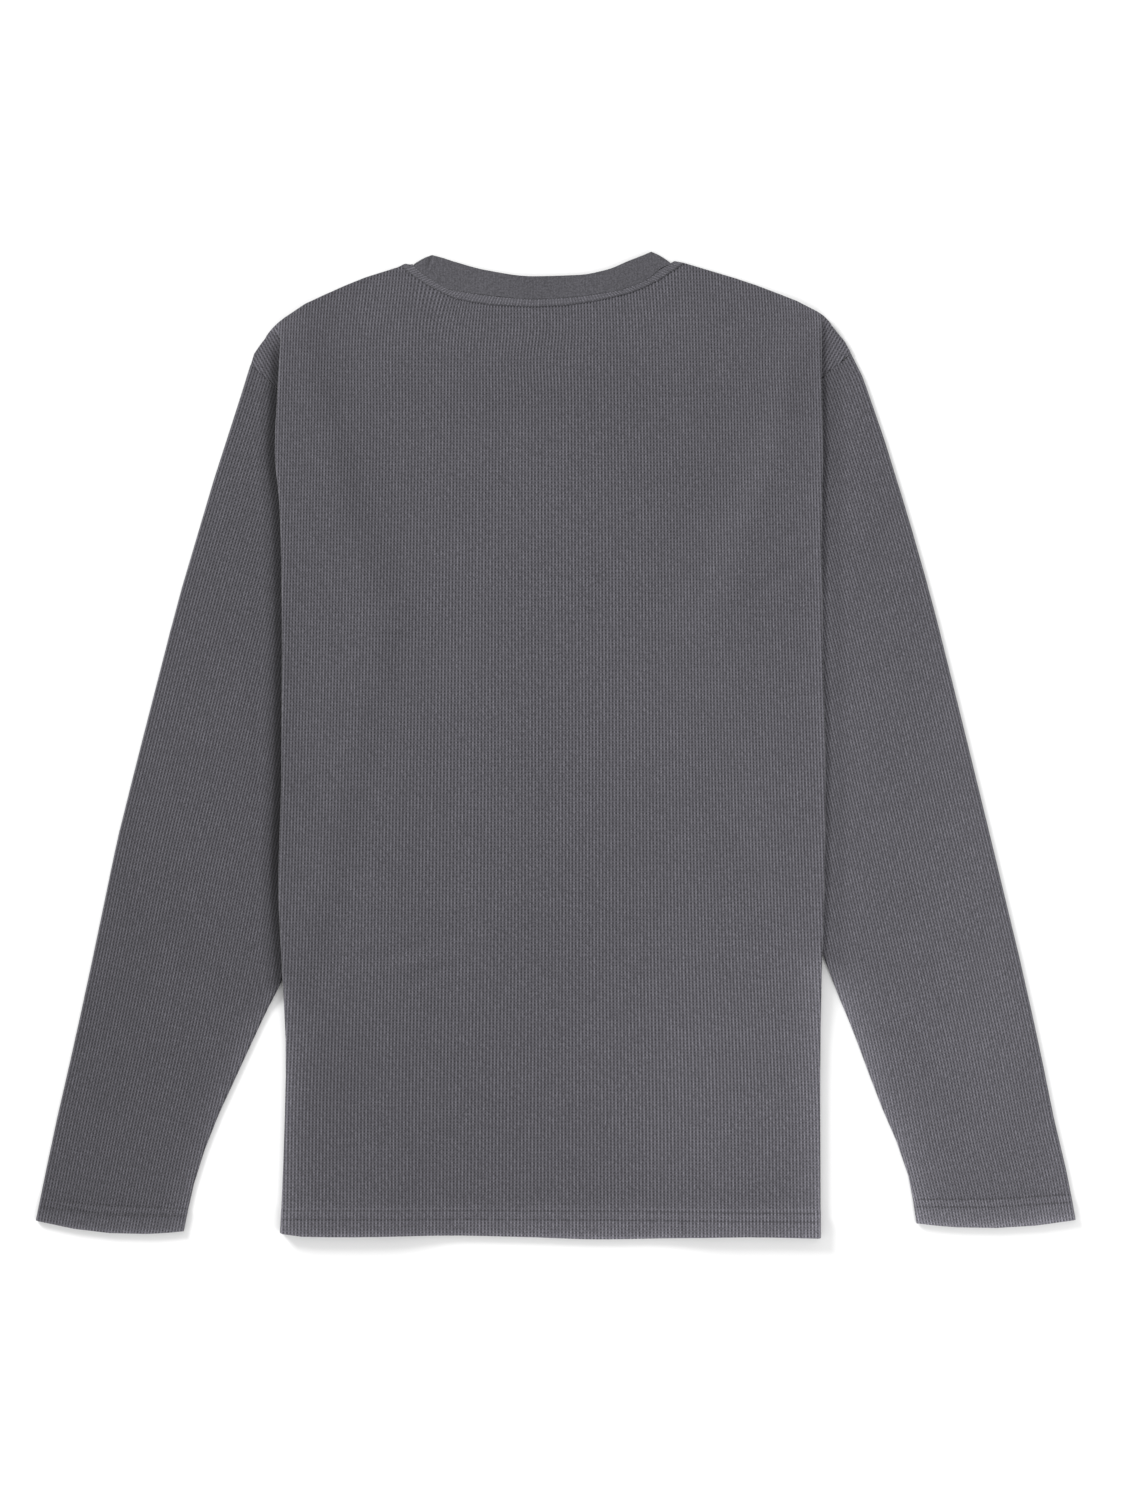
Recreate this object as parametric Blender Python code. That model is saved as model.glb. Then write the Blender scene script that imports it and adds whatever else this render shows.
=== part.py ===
"""A crew-neck waffle-knit thermal top, laid flat on its front with its sides tucked in.

Each piece is one closed cloth wall: two body panels, two sleeve tubes and the neckband. The
panels fold at the body's side edges. A flap runs back inside, as far as the side seam. Above
the underarm it turns again, and a third layer runs out to the armhole seam, so the sleeve
swings down beside the body and comes out from between the flaps.

Lengths here are in millimetres. X runs across, Y toward the collar and Z up, with the floor
at 0. On each side, `out` is the distance from the centre line.
"""

import math
from collections import namedtuple

import bmesh
import bpy

MM = 0.001  # metres in a millimetre

# Driving dimensions
CLOTH = 1.2  # waffle knit, flat
HEM_CLOTH = 1.9  # the turned hem
HEM_TOP = -336.5  # where the hem's upper edge runs across the body
HEM_STEP = 2.0  # the wall thins to the single cloth over this length
CUFF_DEPTH = 18.0
BAND_CLOTH = 1.8  # the doubled rib of the neckband
GAP = 0.3  # between layers, and across a seam
SEAM_GAP = 0.3
TUCK = 70.0  # how far each side is folded in, up to the underarm
FIRST_TUCK = 4.4  # the fold's depth at its upper end
UNDERARM_Y = 78.0
SLIVER = 8.0  # the third layer's width between the inner fold and the hidden armhole seam
SEAM_BEND = 26.0  # below the fold's edge the seam reaches its straight stretch this far down
NOTCH_Y = -160.0  # about where the sleeve's inner edge comes out past the body's fold
NOTCH_FADE = 30.0  # below the notch the sleeve comes down to the floor over this length
FADE_IN = 58.0  # over this width the upper layers come down beside the tucked ones
FADE_SLEEVE = 30.0  # the same beside the sleeve, under the body
SLEEVE_ROOM = 3.0  # the layers over the sleeve stay up this far past its inner edge
STEP_START = 3.8  # outside the body's fold the sleeve stays level this far
LEVEL_SHARE = 0.45  # the third layer's level stretch is at most this share of its width
STEP_WIDTH = 13.0  # and reaches the floor over this width
ROLL_STEPS = 4  # flats round a fold's half turn
CENTRE_X = -9.0  # the neck's middle

# Where the body's side folds run, from the hem up. The last row is each fold's upper end.
Fold = namedtuple("Fold", "y out")
LEFT_FOLD = [
    Fold(-356, 199.0),
    Fold(-300, 196.5),
    Fold(-225, 194.6),
    Fold(-172, 196.6),
    Fold(-100, 199.8),
    Fold(-20, 197.6),
    Fold(80, 197.2),
    Fold(165, 198.4),
    Fold(212, 202.4),
    Fold(255, 200.4),
    Fold(291, 198.2),
]
RIGHT_FOLD = [
    Fold(-356, 190.8),
    Fold(-250, 190.4),
    Fold(-172, 191.2),
    Fold(-90, 193.6),
    Fold(-10, 194.0),
    Fold(70, 192.2),
    Fold(165, 191.4),
    Fold(205, 192.2),
    Fold(262, 191.4),
    Fold(300, 191.2),
]

# The shoulder from the neckband out, and then down to the top of the armhole seam.
Edge = namedtuple("Edge", "out y")
LEFT_SHOULDER = [
    Edge(103.6, 346.0),
    Edge(108.2, 347.0),
    Edge(112.7, 344.8),
    Edge(127.4, 340.6),
    Edge(143.3, 334.8),
    Edge(169.2, 323.3),
    Edge(183.6, 316.0),
    Edge(197.3, 306.0),
    Edge(205.2, 298.8),
    Edge(212.2, 289.4),
    Edge(218.2, 280.6),
    Edge(220.3, 274.3),
]
RIGHT_SHOULDER = [
    Edge(83.6, 347.2),
    Edge(89.6, 348.6),
    Edge(95.0, 345.6),
    Edge(114.5, 340.6),
    Edge(134.6, 334.8),
    Edge(164.9, 323.3),
    Edge(182.0, 315.6),
    Edge(195.1, 306.6),
    Edge(202.3, 297.4),
    Edge(208.6, 290.0),
    Edge(212.4, 283.0),
]

# The armhole seam outside the body's fold, from the shoulder down.
LEFT_ARMHOLE = [Edge(220.3, 274.3), Edge(213.8, 268.6), Edge(206.9, 262.1), Edge(200.0, 256.6)]
RIGHT_ARMHOLE = [Edge(212.4, 283.0), Edge(209.5, 278.9), Edge(202.5, 273.6), Edge(193.4, 266.8)]

# The sleeve's outer edge from the armhole to the cuff, and its inner edge from the underarm.
LEFT_OUTER = [
    Edge(220.3, 274.3),
    Edge(228.4, 248.4),
    Edge(247.0, 190.8),
    Edge(272.6, 104.4),
    Edge(302.2, -10.8),
    Edge(316.6, -68.4),
    Edge(334.6, -154.8),
    Edge(347.0, -212.4),
    Edge(360.2, -270.0),
    Edge(369.0, -312.0),
    Edge(375.2, -342.6),
]
RIGHT_OUTER = [
    Edge(212.4, 283.0),
    Edge(221.4, 265.0),
    Edge(237.0, 219.6),
    Edge(254.8, 162.0),
    Edge(271.2, 104.4),
    Edge(292.8, 18.0),
    Edge(314.0, -68.4),
    Edge(334.8, -154.8),
    Edge(347.8, -212.4),
    Edge(359.4, -270.0),
    Edge(369.4, -312.0),
    Edge(374.8, -342.2),
]
LEFT_INNER = [
    Edge(136.0, 78.0),
    Edge(150.0, 10.0),
    Edge(167.0, -62.0),
    Edge(184.0, -128.0),
    Edge(197.4, -170.3),
    Edge(209.0, -192.0),
    Edge(226.6, -230.0),
    Edge(245.0, -270.0),
    Edge(256.2, -299.0),
    Edge(262.4, -321.0),
    Edge(268.3, -350.3),
]
RIGHT_INNER = [
    Edge(130.0, 78.0),
    Edge(143.0, 14.0),
    Edge(160.0, -54.0),
    Edge(178.0, -116.0),
    Edge(192.4, -151.6),
    Edge(204.5, -182.6),
    Edge(213.8, -204.5),
    Edge(232.6, -255.6),
    Edge(246.2, -287.0),
    Edge(253.2, -305.3),
    Edge(257.6, -329.0),
    Edge(259.8, -344.6),
]
STEEP = 3  # from this row on, the shoulder's outline falls as it runs out
# How far each cuff's bottom edge hangs below the straight line between its corners.
LEFT_CUFF_SAG = 5.2
RIGHT_CUFF_SAG = 4.6

# Curves across the top and bottom of the body, with x to the right.
Point = namedtuple("Point", "x y")
HEM = [
    Point(-199, -350.6),
    Point(-193, -353.4),
    Point(-154, -354.2),
    Point(-80, -353.4),
    Point(-20, -354.6),
    Point(30, -356.2),
    Point(95, -355.0),
    Point(140, -354.2),
    Point(190, -355.2),
]
BACK_NECK = [
    Point(-103.6, 346.0),
    Point(-92.9, 338.0),
    Point(-77.5, 328.8),
    Point(-54.7, 325.0),
    Point(-17.3, 321.6),
    Point(13.7, 323.2),
    Point(44.6, 327.8),
    Point(60.5, 333.2),
    Point(68.8, 338.0),
    Point(75.2, 343.4),
    Point(83.6, 347.2),
]
BAND_TOP = [
    Point(-90.7, 353.2),
    Point(-83.1, 351.4),
    Point(-71.6, 347.8),
    Point(-50.4, 342.2),
    Point(-17.3, 337.8),
    Point(16.9, 338.8),
    Point(37.2, 342.7),
    Point(52.6, 349.0),
    Point(69.7, 355.6),
]
FRONT_NECK_LOW = 265.0  # the front neckline's lowest point
FRONT_NECK_CURVE = 2.6  # and how square its curve is
BAND_WIDTH = 16.0
BAND_TOP_CURVE = 2.8  # the curve of the band's top edge at the front
LIFT_ROOM = 26.0  # the back panel climbs onto the front half of the band over this length
LIFT_REACH = 128.0  # and is level again this far from the neck's middle
FOLD_RISE = 2.4  # the band's folded ends stand this far up from the shoulder seams

# Where the panels' columns lie between the middle and the neck's end, as shares of that width.
NECK_SHARES = (0.2, 0.4, 0.58, 0.74, 0.87, 0.95, 1.0, 1.05, 1.1)

SLOPE_SHARES = (1.0, 0.75, 0.5, 0.25)  # and beside the flap, as shares of FADE_IN
COLUMN_ROOM = 6.0
# The flap's second column follows the sleeve's inner edge between these shares of its width.
FLAP_EDGE_MIN, FLAP_EDGE_MAX = 0.2, 0.55

SPLIT_Y = 150  # above this the body's rows bend to meet the neckline
SPLIT_INNER, SPLIT_OUTER = 118.0, 178.0  # and they do so inside these distances out

# Rows of the panels between the hem and the fold's upper end, by the height of their ends.
LOW_ROWS = (-342, -336.5, -334, -305, -270, -238, -212, -192, -172, -160, -145, -122, -95)
MID_ROWS = (-62, -28, 10, 44, 64, UNDERARM_Y)
HIGH_ROWS = (96, 122, 150, 178, 204, 228, 246)
TOP_ROWS = (-34, -26, -17, -9, -4)  # measured from each side's upper end of the fold
# Above the fold's upper end the rows open out: how far up, how much of the stack's
# height is left, and how far the folds have spread out flat.
Rise = namedtuple("Rise", "up height spread")
RISES = [
    Rise(0.0, 1.0, 0.0),
    Rise(0.16, 0.98, 0.3),
    Rise(0.34, 0.93, 0.65),
    Rise(0.6, 0.82, 0.92),
    Rise(0.82, 0.72, 1.0),
    Rise(1.0, 0.64, 1.0),
]
OPENED_SLOPE = 0.8  # the share of the opened-out width that slopes
END_RISE = 4.0  # how far above the fold's upper end the top row ends on the outline
OPENING_LIFT = 0.3  # the back panel rides this much higher where the folds open out


def lerp(a, b, t):
    return a + (b - a) * t


def ease(t):
    """A smooth step from 0 to 1."""
    t = min(1.0, max(0.0, t))
    return t * t * (3 - 2 * t)


def follow(table, key, value, at):
    """The named value on a smooth line through a table's rows, where its key is `at`."""
    rows = sorted(table, key=lambda row: getattr(row, key))
    x = [getattr(row, key) for row in rows]
    y = [getattr(row, value) for row in rows]
    if at <= x[0]:
        return y[0]
    if at >= x[-1]:
        return y[-1]
    k = max(i for i in range(len(x) - 1) if x[i] <= at)
    slopes = [(y[i + 1] - y[i]) / (x[i + 1] - x[i]) for i in range(len(x) - 1)]

    def tangent(i):
        if i == 0 or i == len(x) - 1:
            return slopes[max(0, i - 1)]
        before, after = slopes[i - 1], slopes[i]
        if before * after <= 0:
            return 0.0
        return 2 * before * after / (before + after)

    h = x[k + 1] - x[k]
    t = (at - x[k]) / h
    return (
        (1 + 2 * t) * (1 - t) ** 2 * y[k]
        + t * (1 - t) ** 2 * h * tangent(k)
        + t * t * (3 - 2 * t) * y[k + 1]
        + t * t * (t - 1) * h * tangent(k + 1)
    )


def along(table, share):
    """The point at this share of the length of a line through a table of edges or points."""
    spans = [math.dist(a, b) for a, b in zip(table, table[1:])]
    left = share * sum(spans)
    for a, b, span in zip(table, table[1:], spans):
        if left <= span:
            return [lerp(p, q, left / span) for p, q in zip(a, b)]
        left -= span
    return list(table[-1])


class Side:
    """One side of the top: its folds, seams and edges, by the distance out."""

    def __init__(self, sign, fold, shoulder, armhole, outer, inner, sag):
        self.sign = sign
        self.folds = fold
        self.shoulder = shoulder
        self.outer = outer
        self.inner = inner
        self.sag = sag
        self.top_y = fold[-1].y
        self.notch_y = follow(inner, "out", "y", follow(fold, "y", "out", NOTCH_Y))
        # The inner fold and the hidden stretch of the armhole seam are straight.
        end = self.fold(UNDERARM_Y) - TUCK
        start = fold[-1].out - FIRST_TUCK
        self.inner_fold = (Edge(start, self.top_y), Edge(end, UNDERARM_Y))
        last = Edge(inner[0].out, UNDERARM_Y)
        bend_y = armhole[-1].y - SEAM_BEND
        share = (bend_y - UNDERARM_Y) / (self.top_y - UNDERARM_Y)
        bend = Edge(lerp(end, start, share) + SLIVER, bend_y)
        self.seam = [*armhole, bend, last]

    def fold(self, y):
        return follow(self.folds, "y", "out", y)

    def tuck_end(self, y):
        """Where the flap ends: at the side seam, or above the underarm at the inner fold."""
        if y < UNDERARM_Y:
            return self.fold(y) - TUCK
        top, end = self.inner_fold
        share = (y - UNDERARM_Y) / (self.top_y - UNDERARM_Y)
        return lerp(end.out, top.out, min(1.0, share))

    def reach(self, y):
        """Where the third layer ends: at the armhole seam, and above it at the outline."""
        if y <= self.seam[0].y:
            return follow(self.seam, "y", "out", y)
        return follow(self.shoulder[STEEP:], "y", "out", y)

    def sleeve_end(self, y):
        """The sleeve's inner edge, or above the underarm the inner fold."""
        if y > UNDERARM_Y:
            return self.tuck_end(y)
        return follow(self.inner, "y", "out", y)


LEFT = Side(-1, LEFT_FOLD, LEFT_SHOULDER, LEFT_ARMHOLE, LEFT_OUTER, LEFT_INNER, LEFT_CUFF_SAG)
RIGHT = Side(1, RIGHT_FOLD, RIGHT_SHOULDER, RIGHT_ARMHOLE, RIGHT_OUTER, RIGHT_INNER, RIGHT_CUFF_SAG)


def body_cloth(y):
    """The panels' wall, thicker at the turned hem."""
    return lerp(HEM_CLOTH, CLOTH, ease((y - HEM_TOP) / HEM_STEP))


def flap_weight(side, out, y, height):
    """How much the tucked flaps lift what lies over this point, from 0 to `height`."""
    inward = side.tuck_end(y) - out
    return height * (1 - ease(inward / FADE_IN))


def sleeve_weight(side, out, y, height):
    """How much the sleeve, or above it the third layer, lifts what lies over it."""
    inward = side.sleeve_end(y) - SLEEVE_ROOM - out
    return height * (1 - ease(inward / FADE_SLEEVE))


def outer_weight(side, out, y, height):
    """How much the body's folds lift the sleeve beside them."""
    beside = 1 - ease((out - side.fold(y) - STEP_START) / STEP_WIDTH)
    below = ease((y - side.notch_y + NOTCH_FADE) / NOTCH_FADE)
    return height * beside * below


def seat(layer, side, out, y, height=1.0):
    """The underside of a layer: 5 is the front panel on the floor, 0 the back panel on top."""
    pitch = body_cloth(y) + GAP
    sleeve_pitch = CLOTH + GAP
    if layer == 5:
        return 0.0
    if layer == 4:
        return pitch * height
    if layer in (3, 2):
        lift = 2 * pitch * outer_weight(side, out, y, height)
        return lift + (sleeve_pitch if layer == 2 else 0)
    sleeves = 2 * sleeve_pitch * sleeve_weight(side, out, y, height)
    if layer == 1:
        return pitch * (1 + height) + sleeves
    return pitch * (1 + 2 * flap_weight(side, out, y, height)) + sleeves


def roll(centre, radius, start, turn, steps=ROLL_STEPS):
    """Points (out, z) round a fold, without its first and last."""
    points = []
    for i in range(1, steps):
        angle = math.radians(start + turn * i / steps)
        points.append((centre[0] + radius * math.cos(angle), centre[1] + radius * math.sin(angle)))
    return points


def fold_columns(side, y):
    """The flap's columns, at the fold, the sleeve's inner edge, between, and at the end."""
    inset = (body_cloth(y) * 2 + GAP) / 2
    first = side.fold(y) - inset
    last = side.tuck_end(y) + (inset if y >= UNDERARM_Y else 0)
    width = first - last
    nearest, farthest = lerp(first, last, FLAP_EDGE_MIN), lerp(first, last, FLAP_EDGE_MAX)
    edge = min(nearest, max(farthest, side.sleeve_end(y) - SLEEVE_ROOM))
    if y >= UNDERARM_Y:
        edge = lerp(first, last, 1 / 3)
    return [first, edge, lerp(edge, last, 1 / 3), lerp(edge, last, 2 / 3), last]


def top_columns(side, last):
    """The columns from the body's middle to the flap, the first ones as far as the neck's end."""
    slope = [last - FADE_IN * share for share in SLOPE_SHARES]
    neck = min(side.shoulder[0].out, (slope[0] - COLUMN_ROOM) / NECK_SHARES[-1])
    return [0.0] + [neck * share for share in NECK_SHARES] + slope


def half_row(side, y, height, layers):
    """One side of a row: points (out, z) from the middle to its end, round both folds."""
    half = body_cloth(y) / 2
    upper, middle, lower = layers
    flaps = fold_columns(side, y)
    columns = top_columns(side, flaps[-1]) + flaps[::-1]
    points = [(out, seat(upper, side, out, y, height) + half) for out in columns]
    first, last = flaps[0], flaps[-1]
    down = -1 if upper < lower else 1
    heights = [seat(layer, side, first, y, height) + half for layer in (upper, middle)]
    points += roll((first, sum(heights) / 2), abs(heights[0] - heights[1]) / 2, -90 * down, 180 * down)
    points += [(out, seat(middle, side, out, y, height) + half) for out in flaps]
    if y < UNDERARM_Y:
        return points
    inside = side.fold(y)  # the third layer is level as far out as the fold
    heights = [seat(middle, side, last, y) + half, seat(lower, side, inside, y) + half]
    points += roll((last, sum(heights) / 2), abs(heights[0] - heights[1]) / 2, -90 * down, -180 * down)
    end = side.reach(y) - SEAM_GAP / 2 * (y < side.seam[0].y)
    level = min(side.fold(y) + STEP_START, lerp(last, end, LEVEL_SHARE))
    for out in (last, level, lerp(level, end, 0.5), end):
        points.append((out, seat(lower, side, max(out, inside), y, height) + half))
    return points


def top_y(side, out, front):
    """The height of the neckline or the shoulder at this distance out."""
    if out >= side.shoulder[0].out:
        return follow(side.shoulder, "out", "y", out)
    x = side.sign * out
    if not front:
        return follow(BACK_NECK, "x", "y", x)
    return front_neck(x)


def front_neck(x):
    centre = (BACK_NECK[0].x + BACK_NECK[-1].x) / 2
    reach = (BACK_NECK[-1].x - BACK_NECK[0].x) / 2
    end = lerp(BACK_NECK[0].y, BACK_NECK[-1].y, 0.5 + (x - centre) / reach / 2)
    return lerp(FRONT_NECK_LOW, end, min(1.0, abs(x - centre) / reach) ** FRONT_NECK_CURVE)


def neck_lift(x, y):
    """The back panel lies over the front half of the neckband, which is the thicker."""
    up = ease((y - FRONT_NECK_LOW + LIFT_ROOM) / LIFT_ROOM)
    across = ease((LIFT_REACH - abs(x - CENTRE_X)) / LIFT_ROOM)
    return (BAND_CLOTH - CLOTH) * up * across


# A row of a panel: at a height, or measured from the fold's upper end, or opened out above it.
Step = namedtuple("Step", "y below rise")


def panel_rows(front):
    """A panel's rows of middle points, from the hem up, left to right."""
    layers = (5, 4, 3) if front else (0, 1, 2)
    steps = [Step(y, None, None) for y in (HEM[0].y, *LOW_ROWS, *MID_ROWS, *HIGH_ROWS)]
    steps += [Step(None, below, None) for below in TOP_ROWS]
    steps += [Step(None, 0, rise) for rise in RISES]
    bent = [step.y for step in steps].index(SPLIT_Y)
    rows = []
    for number, step in enumerate(steps):
        split = max(0.0, (number - bent) / (len(steps) - 1 - bent))
        left, right = (side_row(side, step, layers, front, split) for side in (LEFT, RIGHT))
        rows.append(left[:0:-1] + right)
    return rows


def side_row(side, step, layers, front, split):
    """One side of a row as points (x, y, z), bent toward the neckline by the share `split`."""
    y = side.top_y + step.below if step.y is None else step.y
    if step.rise is None:
        flat = half_row(side, y, 1.0, layers)
        ys = [y] * len(flat)
    else:
        flat, ys = opened_row(side, step.rise, layers, front)
    points = []
    for (out, z), own_y in zip(flat, ys):
        x = side.sign * out
        row_y = own_y
        if own_y == HEM[0].y:
            row_y = follow(HEM, "x", "y", x)
        if split > 0:
            target = lerp(SPLIT_Y, top_y(side, out, front) - SEAM_GAP / 2, split)
            row_y = lerp(target, own_y, ease((out - SPLIT_INNER) / (SPLIT_OUTER - SPLIT_INNER)))
        lift = 0.0 if front else neck_lift(x, row_y)
        points.append((x, row_y, z + lift))
    return points


def opened_row(side, rise, layers, front):
    """A row above the fold's upper end, where the folded columns open out flat."""
    folded = half_row(side, side.top_y, rise.height, layers)
    flat_count = len(top_columns(side, side.top_y)) + 5
    start = folded[flat_count - 1][0]
    opened = len(folded) - flat_count
    end = folded[-1][0]
    end_top = side.reach(side.top_y + END_RISE)
    upper, lower = layers[0], layers[2]
    half = CLOTH / 2
    points, ys = [], []
    for i, (out, z) in enumerate(folded):
        if i >= flat_count:
            share = (i - flat_count + 1) / opened
            wide = lerp(start, lerp(end, end_top, rise.up), share)
            low = seat(lower, side, max(wide, side.fold(side.top_y)), side.top_y, rise.height)
            high = seat(upper, side, wide, side.top_y, rise.height)
            spread_z = lerp(high, low, ease(share / OPENED_SLOPE)) + half
            out, z = lerp(out, wide, rise.spread), lerp(z, spread_z, rise.spread)
            z += (0 if front else OPENING_LIFT) * 4 * rise.spread * (1 - rise.spread)
        points.append((out, z))
        top = top_y(side, out, front)
        ys.append(lerp(side.top_y, top, rise.up))
    return points, ys


def normals(rows, ring):
    """A unit normal at each middle point, facing up on a row that runs to the right."""
    found = []
    for j, row in enumerate(rows):
        line = []
        for i in range(len(row)):
            if row[i] is None:
                line.append(None)
                continue
            right = neighbour(row, i, 1, ring)
            left = neighbour(row, i, -1, ring)
            above = rows[j + 1][i] if j + 1 < len(rows) and rows[j + 1][i] else row[i]
            below = rows[j - 1][i] if j > 0 and rows[j - 1][i] else row[i]
            line.append(unit(cross(minus(right, left), minus(above, below))))
        found.append(line)
    return found


def neighbour(row, i, step, ring):
    k = i + step
    if ring:
        return row[k % len(row)]
    if k < 0 or k >= len(row) or row[k] is None:
        return row[i]
    return row[k]


def minus(a, b):
    return (a[0] - b[0], a[1] - b[1], a[2] - b[2])


def cross(a, b):
    return (
        a[1] * b[2] - a[2] * b[1],
        a[2] * b[0] - a[0] * b[2],
        a[0] * b[1] - a[1] * b[0],
    )


def unit(a):
    size = math.hypot(*a)
    return (a[0] / size, a[1] / size, a[2] / size)


def wall(name, rows, thick, colour, ring=False):
    """A closed wall of cloth round a grid of middle points, where None is left out."""
    mesh = bmesh.new()
    up = normals(rows, ring)
    faces_of = {}
    for side, sign in (("over", 1), ("under", -1)):
        for j, row in enumerate(rows):
            for i, point in enumerate(row):
                if point is None:
                    continue
                half = thick(j, i) / 2 * sign
                moved = [(p + half * n) * MM for p, n in zip(point, up[j][i])]
                faces_of[side, j, i] = mesh.verts.new(moved)
    columns = len(rows[0])
    edges = set()
    for j in range(len(rows) - 1):
        for i in range(columns if ring else columns - 1):
            corners = [(j, i), (j, (i + 1) % columns), (j + 1, (i + 1) % columns), (j + 1, i)]
            if any(rows[a][b] is None for a, b in corners):
                continue
            short = math.dist(rows[j][i], rows[j + 1][(i + 1) % columns])
            other = math.dist(rows[j][(i + 1) % columns], rows[j + 1][i])
            if other < short:
                corners = corners[1:] + corners[:1]
            for triangle in (corners[:3], [corners[0], corners[2], corners[3]]):
                mesh.faces.new([faces_of["over", a, b] for a, b in triangle])
                mesh.faces.new([faces_of["under", a, b] for a, b in reversed(triangle)])
                for a, b in zip(triangle, triangle[1:] + triangle[:1]):
                    edges.add((a, b))
    for a, b in sorted(edges):
        if (b, a) in edges:
            continue
        quad = [("over", *b), ("over", *a), ("under", *a), ("under", *b)]
        mesh.faces.new([faces_of[key] for key in quad])
    data = bpy.data.meshes.new(name)
    mesh.to_mesh(data)
    mesh.free()
    data.shade_smooth()
    data.set_sharp_from_angle(angle=math.radians(50))
    data.materials.append(material(name, colour))
    thing = bpy.data.objects.new(name, data)
    bpy.context.scene.collection.objects.link(thing)
    return thing


def material(name, colour):
    """Matt knit in one colour."""
    made = bpy.data.materials.new(name)
    made.use_nodes = True
    shader = made.node_tree.nodes["Principled BSDF"]
    shader.inputs["Base Color"].default_value = (*colour, 1)
    shader.inputs["Roughness"].default_value = 0.9
    shader.inputs["Metallic"].default_value = 0.0
    return made


def panel(name, front, colour):
    """The front or the back panel. Rows below the underarm stop at the side seam."""
    rows = panel_rows(front)
    longest = max(len(row) for row in rows)
    padded = []
    for row in rows:
        short = (longest - len(row)) // 2
        padded.append([None] * short + row + [None] * short)
    def thick(j, i):
        return body_cloth(padded[j][i][1])

    return wall(name, padded, thick, colour)


# How far up each sleeve its sections lie, as shares of its edges, from the cuff.
SLEEVE_SECTIONS = (0, 0.016, 0.0325, 0.036, 0.07, 0.13, 0.19, 0.25, 0.31, 0.35, 0.38, 0.405, 0.43)
SLEEVE_SECTIONS += (0.455, 0.48, 0.52, 0.57, 0.63, 0.69, 0.74, 0.79, 0.83, 0.865, 0.895, 0.92)
SLEEVE_SECTIONS += (0.94, 0.957, 0.972, 0.986, 1)
EVEN_REACH = 500.0  # near the cuff a share is of this length on both edges
EVEN_SHARE = 0.06
STEP_ROOM = 0.08  # the columns beside the body's fold stay this share of the width apart
LEAST_ROOM = 0.02  # or this share where the fold is close to the sleeve's outer edge
UNDER_SHARES = (0.14, 0.5)  # where the columns lie that run under the body
CORNER_ROOM = 0.6  # more room for the tube's fold at the underarm


def edge_share(share, length):
    """The share of an edge's length, measured evenly from the cuff at first."""
    even = EVEN_REACH / length
    if share <= EVEN_SHARE:
        return share * even
    return lerp(EVEN_SHARE * even, 1.0, (share - EVEN_SHARE) / (1 - EVEN_SHARE))


class Sleeve:
    """A flattened sleeve tube, as a patch between its cuff, its armhole and its two edges."""

    def __init__(self, side):
        self.side = side
        off = SEAM_GAP * math.sqrt(0.5)
        self.armhole = [Edge(row.out + off, row.y - off) for row in side.seam]
        self.armhole[-1] = Edge(self.armhole[-1].out + CORNER_ROOM, self.armhole[-1].y)
        self.outer = [self.armhole[0], *side.outer[1:]][::-1]
        self.inner = [self.armhole[-1], *side.inner[1:]][::-1]
        self.lengths = [sum(map(math.dist, line, line[1:])) for line in (self.outer, self.inner)]

    def at(self, across, up):
        """The point (out, y) this share across from the outer edge and up from the cuff."""
        outer = along(self.outer, edge_share(up, self.lengths[0]))
        inner = along(self.inner, edge_share(up, self.lengths[1]))
        cuff = [lerp(a, b, across) for a, b in zip(self.outer[0], self.inner[0])]
        sag = self.side.sag * 4 * across * (1 - across)
        armhole = along(self.armhole, across)
        point = []
        for k in (0, 1):
            edges = lerp(outer[k], inner[k], across)
            ends = lerp(cuff[k] - (sag if k else 0), armhole[k], up)
            low = lerp(self.outer[0][k], self.inner[0][k], across)
            high = lerp(self.armhole[0][k], self.armhole[-1][k], across)
            point.append(edges + ends - lerp(low, high, up))
        return point

    def beside_fold(self, up, distance, first, last):
        """Where across the sleeve it is this far outside the body's fold, or its inner edge."""
        def past(across):
            out, y = self.at(across, up)
            return out - self.side.fold(y) - distance

        if past(last) > 0:
            return last
        if past(first) < 0:
            return first
        for _ in range(40):
            middle = (first + last) / 2
            if past(middle) > 0:
                first = middle
            else:
                last = middle
        return first

    def columns(self, up, inset):
        """Where the section's points lie: close together where it climbs onto the body's fold."""
        width = math.dist(self.at(0, up), self.at(1, up))
        first, last = inset / width, 1 - inset / width
        found = [last]
        for k in (0, 1, 2):
            across = self.beside_fold(up, STEP_START + STEP_WIDTH * k / 2, first, last)
            room = min(STEP_ROOM, (found[-1] - first) / (6 - k))
            found.append(min(max(across, first + (5 - k) * LEAST_ROOM), found[-1] - room))
        outer = [lerp(first, found[-1], share) for share in (0, 1 / 3, 2 / 3)]
        middle = [lerp(found[1], last, share) for share in UNDER_SHARES]
        return outer + found[:0:-1] + middle + [last]


def sleeve_cloth(up):
    """The sleeve's wall, thicker at the cuff's turned hem."""
    depth = up * EVEN_REACH
    return lerp(HEM_CLOTH, CLOTH, ease((depth - CUFF_DEPTH + HEM_STEP) / HEM_STEP))


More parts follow.
